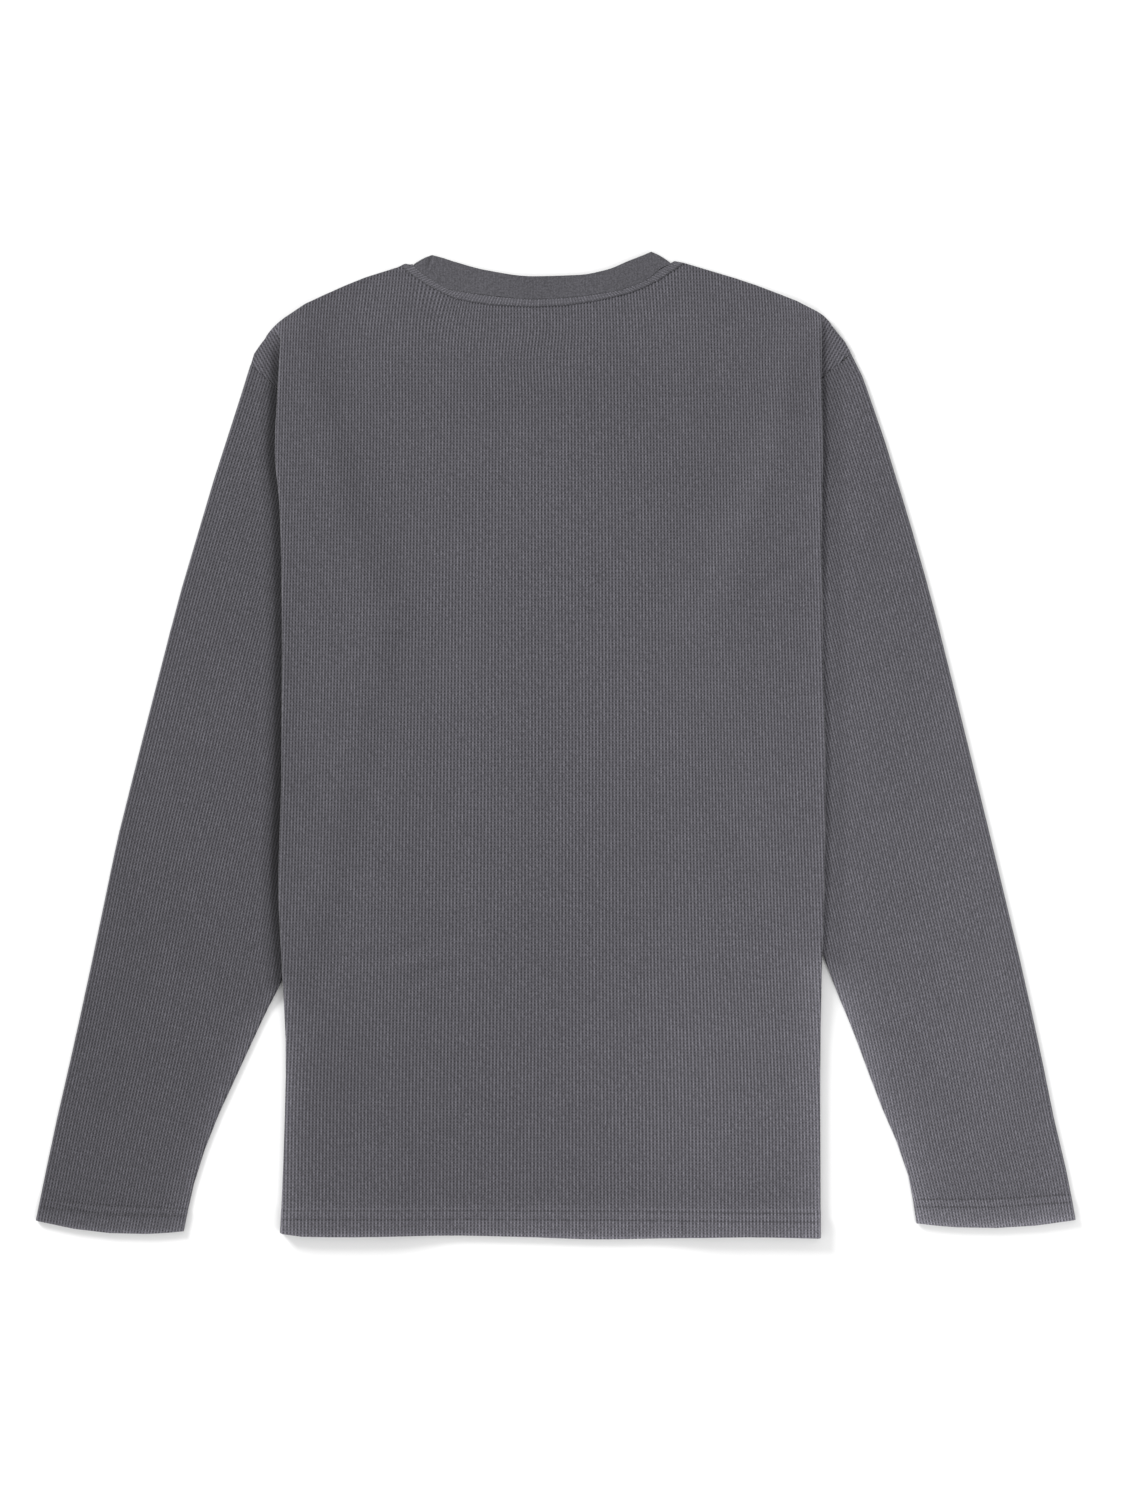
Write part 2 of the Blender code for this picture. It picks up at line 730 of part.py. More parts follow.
def sleeve_rows(side):
    """The sleeve's ring of points at each section: over the top, round, and back below."""
    patch = Sleeve(side)
    rows = []
    for up in SLEEVE_SECTIONS:
        cloth = sleeve_cloth(up)
        pitch = cloth + GAP
        over, under = [], []
        columns = patch.columns(up, (pitch + cloth) / 2)
        for across in columns:
            out, y = patch.at(across, up)
            low = seat(3, side, out, y) + cloth / 2
            over.append((out, y, low + pitch))
            under.append((out, y, low))
        inner = sleeve_roll(patch, up, columns[-1], 1, over[-1], under[-1])
        outer = sleeve_roll(patch, up, columns[0], -1, under[0], over[0])
        ring = over + inner + under[::-1] + outer
        placed = [(side.sign * out, y, z) for out, y, z in ring]
        rows.append(placed if side.sign < 0 else placed[::-1])
    return rows


def sleeve_roll(patch, up, across, way, start, end):
    """The half turn round one edge of the sleeve, in line with its section."""
    before, after = patch.at(across - 0.01, up), patch.at(across + 0.01, up)
    size = math.dist(before, after) / way
    heading = [(b - a) / size for a, b in zip(before, after)]
    radius = abs(start[2] - end[2]) / 2
    level = (start[2] + end[2]) / 2
    points = []
    for i in range(1, ROLL_STEPS):
        angle = math.pi * i / ROLL_STEPS
        beyond = radius * math.sin(angle)
        z = level + (start[2] - level) * math.cos(angle)
        points.append((start[0] + heading[0] * beyond, start[1] + heading[1] * beyond, z))
    return points


def sleeve(name, side, colour):
    rows = sleeve_rows(side)
    return wall(name, rows, lambda j, i: sleeve_cloth(SLEEVE_SECTIONS[j]), colour, ring=True)


def band_sections():
    """The neckband's sections (seam end, top end) round its ring: back, fold, front, fold."""
    level = BAND_CLOTH / 2
    radius = (BAND_CLOTH + GAP) / 2
    inset = radius + BAND_CLOTH / 2
    ends = []
    for seam, top, way in ((BACK_NECK[0], BAND_TOP[0], -1), (BACK_NECK[-1], BAND_TOP[-1], 1)):
        size = math.dist(seam, top)
        away = ((top.y - seam.y) / size * way, -(top.x - seam.x) / size * way)
        rise = FOLD_RISE / size
        seam = Point(lerp(seam.x, top.x, rise), lerp(seam.y, top.y, rise))
        ends.append((away, [(p.x - inset * away[0], p.y - inset * away[1]) for p in (seam, top)]))
    (left_away, left), (right_away, right) = ends
    inside = [share for share in NECK_SHARES if share < 1]
    shares = [-share for share in reversed(inside)] + [0.0] + inside
    back, front = [], []
    for share in shares:
        side = LEFT if share < 0 else RIGHT
        x = side.sign * abs(share) * side.shoulder[0].out
        part = (x - left[0][0]) / (right[0][0] - left[0][0])
        top_x = lerp(left[1][0], right[1][0], part)
        top = (top_x, follow(BAND_TOP, "x", "y", top_x))
        back.append(((x, top_y(side, abs(x), False) + SEAM_GAP / 2), top))
        top = (top_x, front_band_top(top_x, left[1], right[1]))
        front.append(((x, front_neck(x) + SEAM_GAP / 2), top))
    high, low = level + 2 * radius, level
    sections = [[(*seam, high), (*top, high)] for seam, top in [left, *back, right]]
    sections += band_fold(right, right_away, radius, high)
    sections += [[(*seam, low), (*top, low)] for seam, top in [right, *front[::-1], left]]
    sections += band_fold(left, left_away, radius, high)[::-1]
    return sections


def front_band_top(x, left, right):
    centre, reach = (left[0] + right[0]) / 2, (right[0] - left[0]) / 2
    end = lerp(left[1], right[1], (x - left[0]) / (right[0] - left[0]))
    low = FRONT_NECK_LOW + BAND_WIDTH
    return lerp(low, end, min(1.0, abs(x - centre) / reach) ** BAND_TOP_CURVE)


def band_fold(line, away, radius, high):
    """The sections round one end of the flattened ring, from its back down to its front."""
    sections = []
    for i in range(1, ROLL_STEPS):
        angle = math.pi * i / ROLL_STEPS
        beyond, z = radius * math.sin(angle), high - radius * (1 - math.cos(angle))
        sections.append([(x + away[0] * beyond, y + away[1] * beyond, z) for x, y in line])
    return sections


def neckband(name, colour):
    sections = band_sections()
    rows = [[lerp_point(*section, share) for section in sections] for share in (0, 0.5, 1)]
    return wall(name, rows, lambda j, i: BAND_CLOTH, colour, ring=True)


def lerp_point(a, b, share):
    return tuple(lerp(p, q, share) for p, q in zip(a, b))


def centre(things):
    """Puts the top on the floor with its middle over the origin."""
    corners = [vertex.co for thing in things for vertex in thing.data.vertices]
    low = [min(corner[k] for corner in corners) for k in range(3)]
    high = [max(corner[k] for corner in corners) for k in range(3)]
    for thing in things:
        thing.location = (-(low[0] + high[0]) / 2, -(low[1] + high[1]) / 2, -low[2])


def main():
    for thing in list(bpy.data.objects):
        bpy.data.objects.remove(thing)
    things = [
        panel("back_panel", False, (0.115, 0.112, 0.125)),
        panel("front_panel", True, (0.105, 0.102, 0.115)),
        sleeve("sleeve_left", LEFT, (0.1, 0.097, 0.108)),
        sleeve("sleeve_right", RIGHT, (0.125, 0.121, 0.134)),
        neckband("neckband", (0.112, 0.11, 0.12)),
    ]
    centre(things)


main()
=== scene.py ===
"""The looks of a waffle-knit thermal top that lies flat on its front.

Each cloth piece is a thin shell on its solid's form, with the waffle's cells as real pits
where they show, and the sewing as thread. The form comes from the same named sizes and tables
as the solids. Lengths here are in millimetres until a mesh is made. X runs across, Y toward
the collar and Z up. On each side, `out` is the distance from the centre line.
"""

import math
from bisect import bisect_right
from collections import namedtuple

import bpy
import numpy as np
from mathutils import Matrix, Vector
from mathutils.bvhtree import BVHTree
from mathutils.geometry import delaunay_2d_cdt


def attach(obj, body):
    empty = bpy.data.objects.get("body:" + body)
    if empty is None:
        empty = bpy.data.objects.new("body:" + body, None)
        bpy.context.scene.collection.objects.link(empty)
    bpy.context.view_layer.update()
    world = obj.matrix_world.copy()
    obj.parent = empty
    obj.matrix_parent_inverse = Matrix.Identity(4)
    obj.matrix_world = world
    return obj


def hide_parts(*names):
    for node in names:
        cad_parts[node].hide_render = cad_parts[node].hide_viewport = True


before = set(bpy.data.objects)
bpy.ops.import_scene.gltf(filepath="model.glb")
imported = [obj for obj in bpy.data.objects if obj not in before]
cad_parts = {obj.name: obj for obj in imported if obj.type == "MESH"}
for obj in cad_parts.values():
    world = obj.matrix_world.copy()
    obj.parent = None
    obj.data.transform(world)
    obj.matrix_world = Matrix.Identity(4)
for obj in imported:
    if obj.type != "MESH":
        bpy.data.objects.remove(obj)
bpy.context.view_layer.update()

MM = 0.001  # metres in a millimetre

# Driving dimensions
CLOTH = 1.2  # waffle knit, flat
HEM_CLOTH = 1.9  # the turned hem
HEM_TOP = -336.5  # where the hem's upper edge runs across the body
HEM_STEP = 2.0  # the wall thins to the single cloth over this length
CUFF_DEPTH = 18.0
BAND_CLOTH = 1.8  # the doubled rib of the neckband
GAP = 0.3  # between layers, and across a seam
SEAM_GAP = 0.02  # closer than the solids, so that nothing shows through
TUCK = 70.0  # how far each side is folded in, up to the underarm
FIRST_TUCK = 4.4  # the fold's depth at its upper end
UNDERARM_Y = 78.0
SLIVER = 8.0  # the third layer's width between the inner fold and the hidden armhole seam
SEAM_BEND = 26.0  # below the fold's edge the seam reaches its straight stretch this far down
NOTCH_Y = -160.0  # about where the sleeve's inner edge comes out past the body's fold
NOTCH_FADE = 30.0  # below the notch the sleeve comes down to the floor over this length
FADE_IN = 58.0  # over this width the upper layers come down beside the tucked ones
FADE_SLEEVE = 30.0  # the same beside the sleeve, under the body
SLEEVE_ROOM = 3.0  # the layers over the sleeve stay up this far past its inner edge
STEP_START = 3.8  # outside the body's fold the sleeve stays level this far
STEP_WIDTH = 13.0  # and reaches the floor over this width
LEVEL_SHARE = 0.45  # the third layer's level stretch is at most this share of its width
ROLL_STEPS = 4  # flats round a fold's half turn
CENTRE_X = -9.0  # the neck's middle


def table(kind, *rows):
    """Rows of numbers with named columns."""
    return [kind(*row) for row in rows]


# Where the body's side folds run, from the hem up. The last row is each fold's upper end.
Fold = namedtuple("Fold", "y out")
LEFT_FOLD = table(
    Fold,
    (-356, 199.0), (-300, 196.5), (-225, 194.6), (-172, 196.6), (-100, 199.8), (-20, 197.6),
    (80, 197.2), (165, 198.4), (212, 202.4), (255, 200.4), (291, 198.2),
)
RIGHT_FOLD = table(
    Fold,
    (-356, 190.8), (-250, 190.4), (-172, 191.2), (-90, 193.6), (-10, 194.0), (70, 192.2),
    (165, 191.4), (205, 192.2), (262, 191.4), (300, 191.2),
)

# The shoulder from the neckband out, and then down to the top of the armhole seam.
Edge = namedtuple("Edge", "out y")
LEFT_SHOULDER = table(
    Edge,
    (103.6, 346.0), (108.2, 347.0), (112.7, 344.8), (127.4, 340.6), (143.3, 334.8), (169.2, 323.3),
    (183.6, 316.0), (197.3, 306.0), (205.2, 298.8), (212.2, 289.4), (218.2, 280.6), (220.3, 274.3),
)
RIGHT_SHOULDER = table(
    Edge,
    (83.6, 347.2), (89.6, 348.6), (95.0, 345.6), (114.5, 340.6), (134.6, 334.8), (164.9, 323.3),
    (182.0, 315.6), (195.1, 306.6), (202.3, 297.4), (208.6, 290.0), (212.4, 283.0),
)

# The armhole seam outside the body's fold, from the shoulder down.
LEFT_ARMHOLE = [Edge(220.3, 274.3), Edge(213.8, 268.6), Edge(206.9, 262.1), Edge(200.0, 256.6)]
RIGHT_ARMHOLE = [Edge(212.4, 283.0), Edge(209.5, 278.9), Edge(202.5, 273.6), Edge(193.4, 266.8)]

# The sleeve's outer edge from the armhole to the cuff, and its inner edge from the underarm.
LEFT_OUTER = table(
    Edge,
    (220.3, 274.3), (228.4, 248.4), (247.0, 190.8), (272.6, 104.4), (302.2, -10.8), (316.6, -68.4),
    (334.6, -154.8), (347.0, -212.4), (360.2, -270.0), (369.0, -312.0), (375.2, -342.6),
)
RIGHT_OUTER = table(
    Edge,
    (212.4, 283.0), (221.4, 265.0), (237.0, 219.6), (254.8, 162.0), (271.2, 104.4), (292.8, 18.0),
    (314.0, -68.4), (334.8, -154.8), (347.8, -212.4), (359.4, -270.0), (369.4, -312.0),
    (374.8, -342.2),
)
LEFT_INNER = table(
    Edge,
    (136.0, 78.0), (150.0, 10.0), (167.0, -62.0), (184.0, -128.0), (197.4, -170.3), (209.0, -192.0),
    (226.6, -230.0), (245.0, -270.0), (256.2, -299.0), (262.4, -321.0), (268.3, -350.3),
)
RIGHT_INNER = table(
    Edge,
    (130.0, 78.0), (143.0, 14.0), (160.0, -54.0), (178.0, -116.0), (192.4, -151.6), (204.5, -182.6),
    (213.8, -204.5), (232.6, -255.6), (246.2, -287.0), (253.2, -305.3), (257.6, -329.0),
    (259.8, -344.6),
)
STEEP = 3  # from this row on, the shoulder's outline falls as it runs out
# How far each cuff's bottom edge hangs below the straight line between its corners.
LEFT_CUFF_SAG = 5.2
RIGHT_CUFF_SAG = 4.6

# Curves across the top and bottom of the body, with x to the right.
Point = namedtuple("Point", "x y")
HEM = table(
    Point,
    (-199, -350.6), (-193, -353.4), (-154, -354.2), (-80, -353.4), (-20, -354.6), (30, -356.2),
    (95, -355.0), (140, -354.2), (190, -355.2),
)
BACK_NECK = table(
    Point,
    (-103.6, 346.0), (-92.9, 338.0), (-77.5, 328.8), (-54.7, 325.0), (-17.3, 321.6), (13.7, 323.2),
    (44.6, 327.8), (60.5, 333.2), (68.8, 338.0), (75.2, 343.4), (83.6, 347.2),
)
BAND_TOP = table(
    Point,
    (-90.7, 353.2), (-83.1, 351.4), (-71.6, 347.8), (-50.4, 342.2), (-17.3, 337.8), (16.9, 338.8),
    (37.2, 342.7), (52.6, 349.0), (69.7, 355.6),
)
FRONT_NECK_LOW = 265.0  # the front neckline's lowest point
FRONT_NECK_CURVE = 2.6  # and how square its curve is
BAND_WIDTH = 16.0
BAND_TOP_CURVE = 2.8  # the curve of the band's top edge at the front
LIFT_ROOM = 26.0  # the back panel climbs onto the front half of the band over this length
LIFT_REACH = 128.0  # and is level again this far from the neck's middle
FOLD_RISE = 0.9  # the band's folded ends stand this far up from the shoulder seams

# Where the panels' columns lie between the middle and the neck's end, as shares of that width.
NECK_SHARES = (0.2, 0.4, 0.58, 0.74, 0.87, 0.95, 1.0, 1.05, 1.1)

SLOPE_SHARES = (1.0, 0.75, 0.5, 0.25)  # and beside the flap, as shares of FADE_IN
COLUMN_ROOM = 6.0
# The flap's second column follows the sleeve's inner edge between these shares of its width.
FLAP_EDGE_MIN, FLAP_EDGE_MAX = 0.2, 0.55

SPLIT_Y = 150  # above this the body's rows bend to meet the neckline
SPLIT_INNER, SPLIT_OUTER = 118.0, 178.0  # and they do so inside these distances out

# Rows of the panels between the hem and the fold's upper end, by the height of their ends.
LOW_ROWS = (-342, -336.5, -334, -305, -270, -238, -212, -192, -172, -160, -145, -122, -95)
MID_ROWS = (-62, -28, 10, 44, 64, UNDERARM_Y)
HIGH_ROWS = (96, 122, 150, 178, 204, 228, 246)
TOP_ROWS = (-34, -26, -17, -9, -4)  # measured from each side's upper end of the fold
# Above the fold's upper end the rows open out: how far up, how much of the stack's
# height is left, and how far the folds have spread out flat.
Rise = namedtuple("Rise", "up height spread")
RISES = table(
    Rise,
    (0.0, 1.0, 0.0), (0.16, 0.98, 0.3), (0.34, 0.93, 0.65), (0.6, 0.82, 0.92), (0.82, 0.72, 1.0),
    (1.0, 0.64, 1.0),
)
OPENED_SLOPE = 0.8  # the share of the opened-out width that slopes
END_RISE = 4.0  # how far above the fold's upper end the top row ends on the outline
OPENING_LIFT = 0.3  # the back panel rides this much higher where the folds open out


def lerp(a, b, t):
    return a + (b - a) * t


def ease(t):
    """A smooth step from 0 to 1."""
    t = np.clip(t, 0, 1)
    return t * t * (3 - 2 * t)


def follow(rows, key, value, at):
    """The named value on a smooth line through a table's rows, where its key is `at`."""
    x, y = zip(*sorted((getattr(row, key), getattr(row, value)) for row in rows))
    if not x[0] < at < x[-1]:
        return y[0] if at <= x[0] else y[-1]
    k = bisect_right(x, at) - 1
    slopes = [(d - c) / (b - a) for a, b, c, d in zip(x, x[1:], y, y[1:])]

    def tangent(i):
        before, after = slopes[max(0, i - 1)], slopes[min(i, len(slopes) - 1)]
        return 2 * before * after / (before + after) if before * after > 0 else 0.0

    wide = x[k + 1] - x[k]
    t = (at - x[k]) / wide
    bow = wide * t * (1 - t) * ((1 - t) * tangent(k) - t * tangent(k + 1))
    return lerp(y[k], y[k + 1], t * t * (3 - 2 * t)) + bow


def along(line, share):
    """The point at this share of the length of a line through edges or points."""
    spans = [math.dist(a, b) for a, b in zip(line, line[1:])]
    left = share * sum(spans)
    for a, b, span in zip(line, line[1:], spans):
        if left <= span:
            return [lerp(p, q, left / span) for p, q in zip(a, b)]
        left -= span
    return list(line[-1])


class Side:
    """One side of the top: its folds, seams and edges, by the distance out."""

    def __init__(self, sign, fold, shoulder, armhole, outer, inner, sag):
        self.sign, self.sag = sign, sag
        self.folds, self.shoulder, self.outer, self.inner = fold, shoulder, outer, inner
        self.top_y = fold[-1].y
        self.notch_y = follow(inner, "out", "y", follow(fold, "y", "out", NOTCH_Y))
        # The inner fold and the hidden stretch of the armhole seam are straight.
        end, start = self.fold(UNDERARM_Y) - TUCK, fold[-1].out - FIRST_TUCK
        self.inner_fold = (start, end)
        bend_y = armhole[-1].y - SEAM_BEND
        share = (bend_y - UNDERARM_Y) / (self.top_y - UNDERARM_Y)
        bend = Edge(lerp(end, start, share) + SLIVER, bend_y)
        self.seam = [*armhole, bend, Edge(inner[0].out, UNDERARM_Y)]

    def fold(self, y):
        return follow(self.folds, "y", "out", y)

    def tuck_end(self, y):
        """Where the flap ends: at the side seam, or above the underarm at the inner fold."""
        if y < UNDERARM_Y:
            return self.fold(y) - TUCK
        top, end = self.inner_fold
        return lerp(end, top, min(1.0, (y - UNDERARM_Y) / (self.top_y - UNDERARM_Y)))

    def reach(self, y):
        """Where the third layer ends: at the armhole seam, and above it at the outline."""
        line = self.seam if y <= self.seam[0].y else self.shoulder[STEEP:]
        return follow(line, "y", "out", y)

    def sleeve_end(self, y):
        """The sleeve's inner edge, or above the underarm the inner fold."""
        return self.tuck_end(y) if y > UNDERARM_Y else follow(self.inner, "y", "out", y)


LEFT = Side(-1, LEFT_FOLD, LEFT_SHOULDER, LEFT_ARMHOLE, LEFT_OUTER, LEFT_INNER, LEFT_CUFF_SAG)
RIGHT = Side(1, RIGHT_FOLD, RIGHT_SHOULDER, RIGHT_ARMHOLE, RIGHT_OUTER, RIGHT_INNER, RIGHT_CUFF_SAG)


def body_cloth(y):
    """The panels' wall, thicker at the turned hem."""
    return lerp(HEM_CLOTH, CLOTH, ease((y - HEM_TOP) / HEM_STEP))


def seat(layer, side, out, y, height=1.0):
    """The underside of a layer: 5 is the front panel on the floor, 0 the back panel on top.

    The share `height` is how much of the stack's height is left.
    """
    pitch, sleeve_pitch = body_cloth(y) + GAP, CLOTH + GAP
    if layer == 5:
        return 0.0
    if layer == 4:
        return pitch * height
    if layer in (3, 2):
        beside_fold = 1 - ease((out - side.fold(y) - STEP_START) / STEP_WIDTH)
        above_notch = ease((y - side.notch_y + NOTCH_FADE) / NOTCH_FADE)
        return 2 * pitch * height * beside_fold * above_notch + sleeve_pitch * (layer == 2)
    over_sleeve = 1 - ease((side.sleeve_end(y) - SLEEVE_ROOM - out) / FADE_SLEEVE)
    sleeves = 2 * sleeve_pitch * height * over_sleeve
    if layer == 1:
        return pitch * (1 + height) + sleeves
    over_flaps = 1 - ease((side.tuck_end(y) - out) / FADE_IN)
    return pitch * (1 + 2 * height * over_flaps) + sleeves


def half_turn(first, last):
    """How far out and how high the points round a fold lie, from one height to the other."""
    radius, level = abs(first - last) / 2, (first + last) / 2
    angles = [math.pi * i / ROLL_STEPS for i in range(1, ROLL_STEPS)]
    return [(radius * math.sin(a), level + (first - last) / 2 * math.cos(a)) for a in angles]


def fold_columns(side, y):
    """The flap's columns, at the fold, the sleeve's inner edge, between, and at the end."""
    inset = body_cloth(y) + GAP / 2
    first, last = side.fold(y) - inset, side.tuck_end(y) + inset * (y >= UNDERARM_Y)
    nearest, farthest = lerp(first, last, FLAP_EDGE_MIN), lerp(first, last, FLAP_EDGE_MAX)
    edge = min(nearest, max(farthest, side.sleeve_end(y) - SLEEVE_ROOM))
    if y >= UNDERARM_Y:
        edge = lerp(first, last, 1 / 3)
    return [first, edge, lerp(edge, last, 1 / 3), lerp(edge, last, 2 / 3), last]


FLAT_COLUMNS = 1 + len(NECK_SHARES) + len(SLOPE_SHARES) + 5  # a side's columns as far as its fold


def top_columns(side, last):
    """The columns from the body's middle to the flap, the first ones as far as the neck's end."""
    slope = [last - FADE_IN * share for share in SLOPE_SHARES]
    neck = min(side.shoulder[0].out, (slope[0] - COLUMN_ROOM) / NECK_SHARES[-1])
    return [0.0] + [neck * share for share in NECK_SHARES] + slope


def half_row(side, y, height, layers):
    """One side of a row: points (out, z) from the middle to its end, round both folds."""
    half = body_cloth(y) / 2
    upper, middle, lower = layers

    def level(layer, out):
        return seat(layer, side, out, y, height) + half

    flaps = fold_columns(side, y)
    first, last = flaps[0], flaps[-1]
    points = [(out, level(upper, out)) for out in top_columns(side, last) + flaps[::-1]]
    turned = half_turn(level(upper, first), level(middle, first))
    points += [(first + beyond, z) for beyond, z in turned]
    points += [(out, level(middle, out)) for out in flaps]
    if y < UNDERARM_Y:
        return points
    inside = side.fold(y)  # the third layer is level as far out as the fold
    turned = half_turn(seat(middle, side, last, y) + half, seat(lower, side, inside, y) + half)
    points += [(last - beyond, z) for beyond, z in turned]
    end = side.reach(y) - SEAM_GAP / 2 * (y < side.seam[0].y)
    flat = min(inside + STEP_START, lerp(last, end, LEVEL_SHARE))
    outs = (last, flat, lerp(flat, end, 0.5), end)
    return points + [(out, level(lower, max(out, inside))) for out in outs]


def top_y(side, out, front):
    """The height of the neckline or the shoulder at this distance out."""
    if out >= side.shoulder[0].out:
        return follow(side.shoulder, "out", "y", out)
    x = side.sign * out
    return front_neck(x) if front else follow(BACK_NECK, "x", "y", x)


def scoop(x, left, right, low, power):
    """The height of a round neckline at x, between its two ends and its low middle."""
    centre, reach = (left[0] + right[0]) / 2, (right[0] - left[0]) / 2
    end = lerp(left[1], right[1], (x - left[0]) / (right[0] - left[0]))
    return lerp(low, end, min(1.0, abs(x - centre) / reach) ** power)


def front_neck(x):
    return scoop(x, BACK_NECK[0], BACK_NECK[-1], FRONT_NECK_LOW, FRONT_NECK_CURVE)


def neck_lift(x, y):
    """The back panel lies over the front half of the neckband, which is the thicker."""
    up = ease((y - FRONT_NECK_LOW + LIFT_ROOM) / LIFT_ROOM)
    across = ease((LIFT_REACH - abs(x - CENTRE_X)) / LIFT_ROOM)
    return (BAND_CLOTH - CLOTH) * up * across


# A row of a panel: its height, where that may be from the folds' upper end, and how far it is
# opened out above them.
Step = namedtuple("Step", "y from_top rise")
STEPS = [Step(y, False, RISES[0]) for y in (HEM[0].y, *LOW_ROWS, *MID_ROWS, *HIGH_ROWS)]
STEPS += [Step(y, True, RISES[0]) for y in TOP_ROWS] + [Step(0, True, rise) for rise in RISES]
BENT = [step.y for step in STEPS].index(SPLIT_Y)


def split_share(number):
    """How far a row is bent toward the neckline, by its number from the hem."""
    return max(0.0, (number - BENT) / (len(STEPS) - 1 - BENT))


def row_y(side, out, y, split, front):
    """A row's height at this distance out: the hem's own, or bent toward the neckline."""
    if y == HEM[0].y:
        y = follow(HEM, "x", "y", side.sign * out)
    if split > 0:
        target = lerp(SPLIT_Y, top_y(side, out, front) - SEAM_GAP / 2, split)
        y = lerp(target, y, ease((out - SPLIT_INNER) / (SPLIT_OUTER - SPLIT_INNER)))
    return y


def side_row(side, step, front, split):
    """One side of a row as points (x, y, z). Above their upper ends the folds open out flat."""
    layers = (5, 4, 3) if front else (0, 1, 2)
    y, rise = step.y + side.top_y * step.from_top, step.rise
    folded = half_row(side, y, rise.height, layers)
    start, end = folded[FLAT_COLUMNS - 1][0], folded[-1][0]
    end_top, inside = side.reach(side.top_y + END_RISE), side.fold(side.top_y)
    points = []
    for i, (out, z) in enumerate(folded):
        if i >= FLAT_COLUMNS and rise.spread:
            share = (i - FLAT_COLUMNS + 1) / (len(folded) - FLAT_COLUMNS)
            wide = lerp(start, lerp(end, end_top, rise.up), share)
            low = seat(layers[2], side, max(wide, inside), y, rise.height)
            high = seat(layers[0], side, wide, y, rise.height)
            spread_z = lerp(high, low, ease(share / OPENED_SLOPE)) + CLOTH / 2
            out, z = lerp(out, wide, rise.spread), lerp(z, spread_z, rise.spread)
            z += (0 if front else OPENING_LIFT) * 4 * rise.spread * (1 - rise.spread)
        x = side.sign * out
        own_y = row_y(side, out, lerp(y, top_y(side, out, front), rise.up), split, front)
        points.append((x, own_y, z + (0 if front else neck_lift(x, own_y))))
    return points


def rounded_hem(x, y, z):
    """A point of the hem's row, moved up where the body's corner is rounded."""
    side = LEFT if x < 0 else RIGHT
    part = np.clip((abs(x) - side.fold(y)) / HEM_ROUND + 1, 0, 1)
    return x, y + HEM_ROUND * (1 - math.sqrt(1 - part * part)), z


def panel_grid(front):
    """A panel's rows of middle points, from the hem up, left to right.

    The rows below the underarm are shorter, and not-a-number stands at their ends.
    """
    rows = []
    for number, step in enumerate(STEPS):
        left, right = (side_row(side, step, front, split_share(number)) for side in (LEFT, RIGHT))
        rows.append(left[:0:-1] + right)
    rows[0] = [rounded_hem(*point) for point in rows[0]]
    longest = max(map(len, rows))
    grid = np.full((len(rows), longest, 3), np.nan)
    for line, row in zip(grid, rows):
        spare = (longest - len(row)) // 2
        line[spare : longest - spare] = row
    return grid


def normals(grid, ring):
    """A unit normal at each middle point, facing up on a row that runs to the right."""

    def beside(step, axis):
        moved = np.roll(grid, -step, axis)
        last = -1 if step > 0 else 0
        if axis == 0:
            moved[last] = np.nan
        elif not ring:
            moved[:, last] = np.nan
        return np.where(np.isnan(moved), grid, moved)

    found = np.cross(beside(1, 1) - beside(-1, 1), beside(1, 0) - beside(-1, 0))
    return found / np.linalg.norm(found, axis=2, keepdims=True)


# How far up each sleeve its sections lie, as shares of its edges, from the cuff.
SLEEVE_SECTIONS = (0, 0.016, 0.0325, 0.036, 0.07, 0.13, 0.19, 0.25, 0.31, 0.35, 0.38, 0.405, 0.43)
SLEEVE_SECTIONS += (0.455, 0.48, 0.52, 0.57, 0.63, 0.69, 0.74, 0.79, 0.83, 0.865, 0.895, 0.92)
SLEEVE_SECTIONS += (0.94, 0.957, 0.972, 0.986, 1)
EVEN_REACH = 500.0  # near the cuff a share is of this length on both edges
EVEN_SHARE = 0.06
STEP_ROOM = 0.08  # the columns beside the body's fold stay this share of the width apart
LEAST_ROOM = 0.02  # or this share where the fold is close to the sleeve's outer edge
UNDER_SHARES = (0.14, 0.5)  # where the columns lie that run under the body
CORNER_ROOM = 0.6  # more room for the tube's fold at the underarm


def edge_point(line, share):
    """The point at this share of a sleeve's edge, measured evenly from the cuff at first."""
    even = EVEN_REACH / sum(map(math.dist, line, line[1:]))
    if share <= EVEN_SHARE:
        return along(line, share * even)
    return along(line, lerp(EVEN_SHARE * even, 1.0, (share - EVEN_SHARE) / (1 - EVEN_SHARE)))


